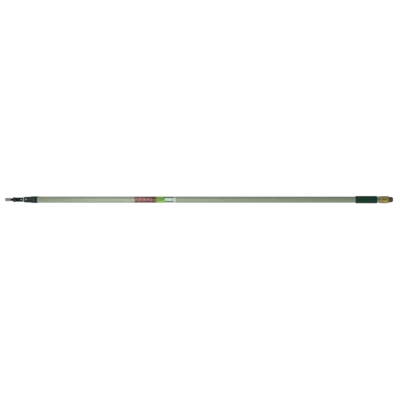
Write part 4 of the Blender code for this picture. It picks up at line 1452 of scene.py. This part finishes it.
class POLE_OT_lock_lever(bpy.types.Operator):
    """The lever: a waisted arm over the nose, a boss on the pivot, and a thumb pad with chevron ribs."""

    bl_idname = "pole.lock_lever"
    bl_label = "Lock Lever"

    def execute(self, context):
        size = context.scene.pole_sizes
        low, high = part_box("lock_lever")
        pivot = middle_of("lever_pivot_pin")
        pin = middle_of("lock_pin").x
        half = high.z
        boss = 0.0029
        arm_top, arm_bottom = -0.00055, -0.00315
        pad_top, pad_bottom = 0.0016, -0.0012
        waist_depth = 0.0022
        soft = 0.0011
        stations = 84
        around = 28
        sections = []
        for step in range(stations + 1):
            share = step / stations
            along = low.x + 0.0002 + (high.x - low.x - 0.0004) * share
            reach = along - pivot.x
            to_pad = smooth_step(-0.002, 0.0045, reach)
            top = arm_top + (pad_top - arm_top) * to_pad
            bottom = arm_bottom + (pad_bottom - arm_bottom) * smooth_step(-0.0085, 0.0030, reach)
            if abs(reach) < boss:
                round_boss = math.sqrt(boss * boss - reach * reach)
                top = max(top, round_boss * 0.98)
                bottom = min(bottom, -round_boss * 0.98)
            waist = window(along, pin + 0.0045, pin + 0.0110, pivot.x - 0.0105, pivot.x - 0.0045)
            width = half - waist_depth * waist
            nearest_end = min(along - low.x, high.x - along)
            if nearest_end < soft:
                shrink = soft - math.sqrt(max(soft * soft - (soft - nearest_end) ** 2, 0.0))
                top -= shrink
                bottom += shrink * 0.6
                width -= shrink
            middle = (top + bottom) / 2
            tall = (top - bottom) / 2
            section = []
            for corner in range(around):
                turn_by = math.tau * corner / around
                across = math.copysign(abs(math.cos(turn_by)) ** 0.35, math.cos(turn_by))
                up = math.copysign(abs(math.sin(turn_by)) ** 0.5, math.sin(turn_by))
                section.append((along, pivot.y - middle - tall * up, width * across))
            sections.append(section)
        shape = loft(sections)

        ridges = []
        ridge_radius = 0.00055
        ridge_corners = 10
        ridge_spacing = 0.0024
        for number in range(3):
            apex = pivot.x + 0.0075 + number * ridge_spacing
            path = [
                (apex + 0.0021, -0.0044), (apex + 0.0004, -0.0010), (apex, 0.0), (apex + 0.0004, 0.0010),
                (apex + 0.0021, 0.0044)]
            rings = []
            for index, (along, across) in enumerate(path):
                radius = ridge_radius * (0.55 if index in (0, len(path) - 1) else 1.0)
                ring = []
                for corner in range(ridge_corners):
                    turn_by = math.tau * corner / ridge_corners
                    up = pad_top + 0.00005 + radius * math.sin(turn_by)
                    ring.append((along + radius * math.cos(turn_by), pivot.y - up, across))
                rings.append(ring)
            ridges.append(loft(rings))
        shape = carve(shape, join(*ridges), "UNION")
        shape = drilled(shape, -REACH, REACH, size.pivot_hole, UPWARD, pivot)
        pin_shank_hole = 0.0026
        shape = drilled(shape, 0.012, REACH, pin_shank_hole, TO_FRONT, (pin, 0, 0))
        # A pocket behind the thumb pad; its faces get the near-black painted shadow finish
        pocket_low = Vector((pivot.x + 0.0154, pivot.y - pad_top - 0.0020, -0.0038))
        pocket_high = Vector((pivot.x + 0.0204, pivot.y - pad_top + 0.0018, 0.0048))
        shape = carve(shape, block(pocket_low, pocket_high, 0.0003))
        piece = keep(
            shape, "lock_lever_ribbed", Finishes.get("lever"), body="lever", replaced=("lock_lever",))
        piece.data.materials.append(Finishes.get("lever_pocket_painted_shadow"))
        for face in piece.data.polygons:
            bounds = zip(pocket_low, face.center, pocket_high)
            if all(least - WELD < value < most + WELD for least, value, most in bounds):
                face.material_index = 1
        return {"FINISHED"}


class POLE_OT_lock_pin(bpy.types.Operator):
    """The steel pin in the lever's nose, with a turned head."""

    bl_idname = "pole.lock_pin"
    bl_label = "Lock Pin"

    def execute(self, context):
        size = context.scene.pole_sizes
        low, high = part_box("lock_pin")
        head = (high.x - low.x) / 2
        top = -low.y
        tip = -high.y
        seat = top - 0.001
        shank = 0.0023
        point = 0.0006
        shape = turn([
            (top - 0.0002, 0, 0), (top - 0.0002, head * 0.45, 0.0003), (top, head * 0.55, 0.0003),
            (top, head - 0.0003, 0.0003), (seat + 0.0004, head, 0.0002), (seat, head, 0.0001),
            (seat, shank, 0), (tip + point, shank, 0.0002), (tip, shank - point, 0.0002), (tip, 0, 0),
        ], size.small_facets)
        keep(place(shape, TO_FRONT, (middle_of("lock_pin").x, 0, 0)), "lock_pin_turned",
             Finishes.get("steel"), body="lever", replaced=("lock_pin",))
        return {"FINISHED"}


class POLE_OT_hidden_pieces(bpy.types.Operator):
    """Finishes for the nodes that stay as packed, inside the pole."""

    bl_idname = "pole.hidden_pieces"
    bl_label = "Hidden Pieces"

    def execute(self, context):
        for node, finish in (
            ("front_sleeve", "nylon"), ("plug_rivet", "steel"), ("guide_bush_rivet", "steel"),
        ):
            mesh = frame["nodes"][node].data
            mesh.materials.clear()
            mesh.materials.append(Finishes.get(finish))
        return {"FINISHED"}


# The stage

def add_light(name, place_at, aim_at, across, watts):
    """A soft square light."""
    lamp = bpy.data.lights.new(name, "AREA")
    lamp.energy = watts
    lamp.size = across
    holder = bpy.data.objects.new(name, lamp)
    holder.location = place_at
    holder.rotation_euler = (Vector(aim_at) - Vector(place_at)).to_track_quat("-Z", "Y").to_euler()
    holder.visible_camera = False
    bpy.context.scene.collection.objects.link(holder)


class POLE_OT_stage(bpy.types.Operator):
    """A pale floor well below the pole, a white room, soft lights and the camera square to the pole."""

    bl_idname = "pole.stage"
    bl_label = "Stage"

    def execute(self, context):
        scene = context.scene
        stage = scene.pole_stage
        scene.view_settings.view_transform = "Standard"
        low, high = cad_box
        middle = (low + high) / 2

        made = Finish("floor_pale", "floor", 0.85, specular=0.1)
        made.colour(made.mix(made.spread(made.noise(3.0), 0.3, 0.7), (0.90, 0.90, 0.90), (0.95, 0.95, 0.95)))
        made.bump((made.noise(400.0), 0.0001, 0.2))
        made.shader.inputs["Emission Color"].default_value = (1.0, 1.0, 1.0, 1.0)
        seen = made.node("ShaderNodeLightPath").outputs["Is Camera Ray"]
        glow = made.math("MULTIPLY_ADD", seen, 0.8, stage.floor_glow)
        made.put(made.shader.inputs["Emission Strength"], glow)
        depth = 1.3
        margin = 2.5
        floor_top = low.z - depth
        floor = keep(
            block((low.x - margin, -3.2, floor_top - 0.02), (high.x + margin, 1.1, floor_top), 0.004),
            "floor", made.material)

        world = bpy.data.worlds.new("room")
        scene.world = world
        world.use_nodes = True
        nodes = world.node_tree.nodes
        links = world.node_tree.links
        room = nodes["Background"]
        room.inputs["Color"].default_value = (1.0, 1.0, 0.98, 1.0)
        room.inputs["Strength"].default_value = stage.fill
        seen = nodes.new("ShaderNodeBackground")
        seen.inputs["Strength"].default_value = stage.backdrop
        seen.inputs["Color"].default_value = (1.0, 1.0, 1.0, 1.0)
        path = nodes.new("ShaderNodeLightPath")
        mix = nodes.new("ShaderNodeMixShader")
        links.new(path.outputs["Is Camera Ray"], mix.inputs[0])
        links.new(room.outputs[0], mix.inputs[1])
        links.new(seen.outputs[0], mix.inputs[2])
        links.new(mix.outputs[0], nodes["World Output"].inputs["Surface"])

        lower = math.radians(15)
        for name, along, away, across, watts in (
            ("near_key", 0.50, 0.50, 0.25, stage.near_key), ("wide_key", 0.85, 1.20, 0.60, stage.wide_key),
        ):
            place_at = (along, -away * math.cos(lower), -away * math.sin(lower))
            add_light(name, place_at, (along, 0, 0), across, watts)

        camera = bpy.data.cameras.new("camera")
        camera.lens = stage.lens
        holder = bpy.data.objects.new("camera", camera)
        distance = stage.view_width * stage.lens / camera.sensor_width
        upward = stage.upward
        holder.location = (
            middle.x + stage.aside, -distance * math.cos(upward), -stage.below - distance * math.sin(upward))
        holder.rotation_euler = (math.radians(90) + upward, 0, 0)
        scene.collection.objects.link(holder)
        scene.camera = holder
        return {"FINISHED"}


# The operators in the order they are called, and the panel

OPERATORS = [
    POLE_OT_threaded_tip,
    POLE_OT_tip_neck,
    POLE_OT_tip_collar,
    POLE_OT_tip_ferrule,
    POLE_OT_tip_rivet,
    POLE_OT_inner_tube,
    POLE_OT_guide_bush,
    POLE_OT_outer_tube,
    POLE_OT_label,
    POLE_OT_lock_nose,
    POLE_OT_lock_housing,
    POLE_OT_housing_screws,
    POLE_OT_lever_pivot_pin,
    POLE_OT_lever_spring,
    POLE_OT_retaining_ring,
    POLE_OT_grip,
    POLE_OT_butt_cap,
    POLE_OT_cap_rivet,
    POLE_OT_butt_bumper,
    POLE_OT_lock_lever,
    POLE_OT_lock_pin,
    POLE_OT_hidden_pieces,
    POLE_OT_stage,
]


class POLE_PT_build(bpy.types.Panel):
    """Lists the pole's pieces in the sidebar."""

    bl_idname = "POLE_PT_build"
    bl_label = "Roller Extension Pole"
    bl_space_type = "VIEW_3D"
    bl_region_type = "UI"
    bl_category = "Pole"

    def draw(self, context):
        """Buttons for the pieces, then the sizes, colours and stage."""
        column = self.layout.column(align=True)
        for operator in OPERATORS:
            column.operator(operator.bl_idname)
        for group in (context.scene.pole_sizes, context.scene.pole_colours, context.scene.pole_stage):
            box = self.layout.box()
            for name in group.__annotations__:
                box.prop(group, name)


CLASSES = [PoleSizes, PoleColours, PoleStage, *OPERATORS, POLE_PT_build]


def register():
    """Add the classes and the scene's properties."""
    for thing in CLASSES:
        bpy.utils.register_class(thing)
    bpy.types.Scene.pole_sizes = bpy.props.PointerProperty(type=PoleSizes)
    bpy.types.Scene.pole_colours = bpy.props.PointerProperty(type=PoleColours)
    bpy.types.Scene.pole_stage = bpy.props.PointerProperty(type=PoleStage)


def unregister():
    """Remove what register added."""
    del bpy.types.Scene.pole_stage
    del bpy.types.Scene.pole_colours
    del bpy.types.Scene.pole_sizes
    for thing in reversed(CLASSES):
        bpy.utils.unregister_class(thing)


def main():
    """Build every piece and the stage."""
    register()
    for operator in OPERATORS:
        getattr(bpy.ops.pole, operator.bl_idname.split(".")[1])()


if __name__ == "__main__":
    main()
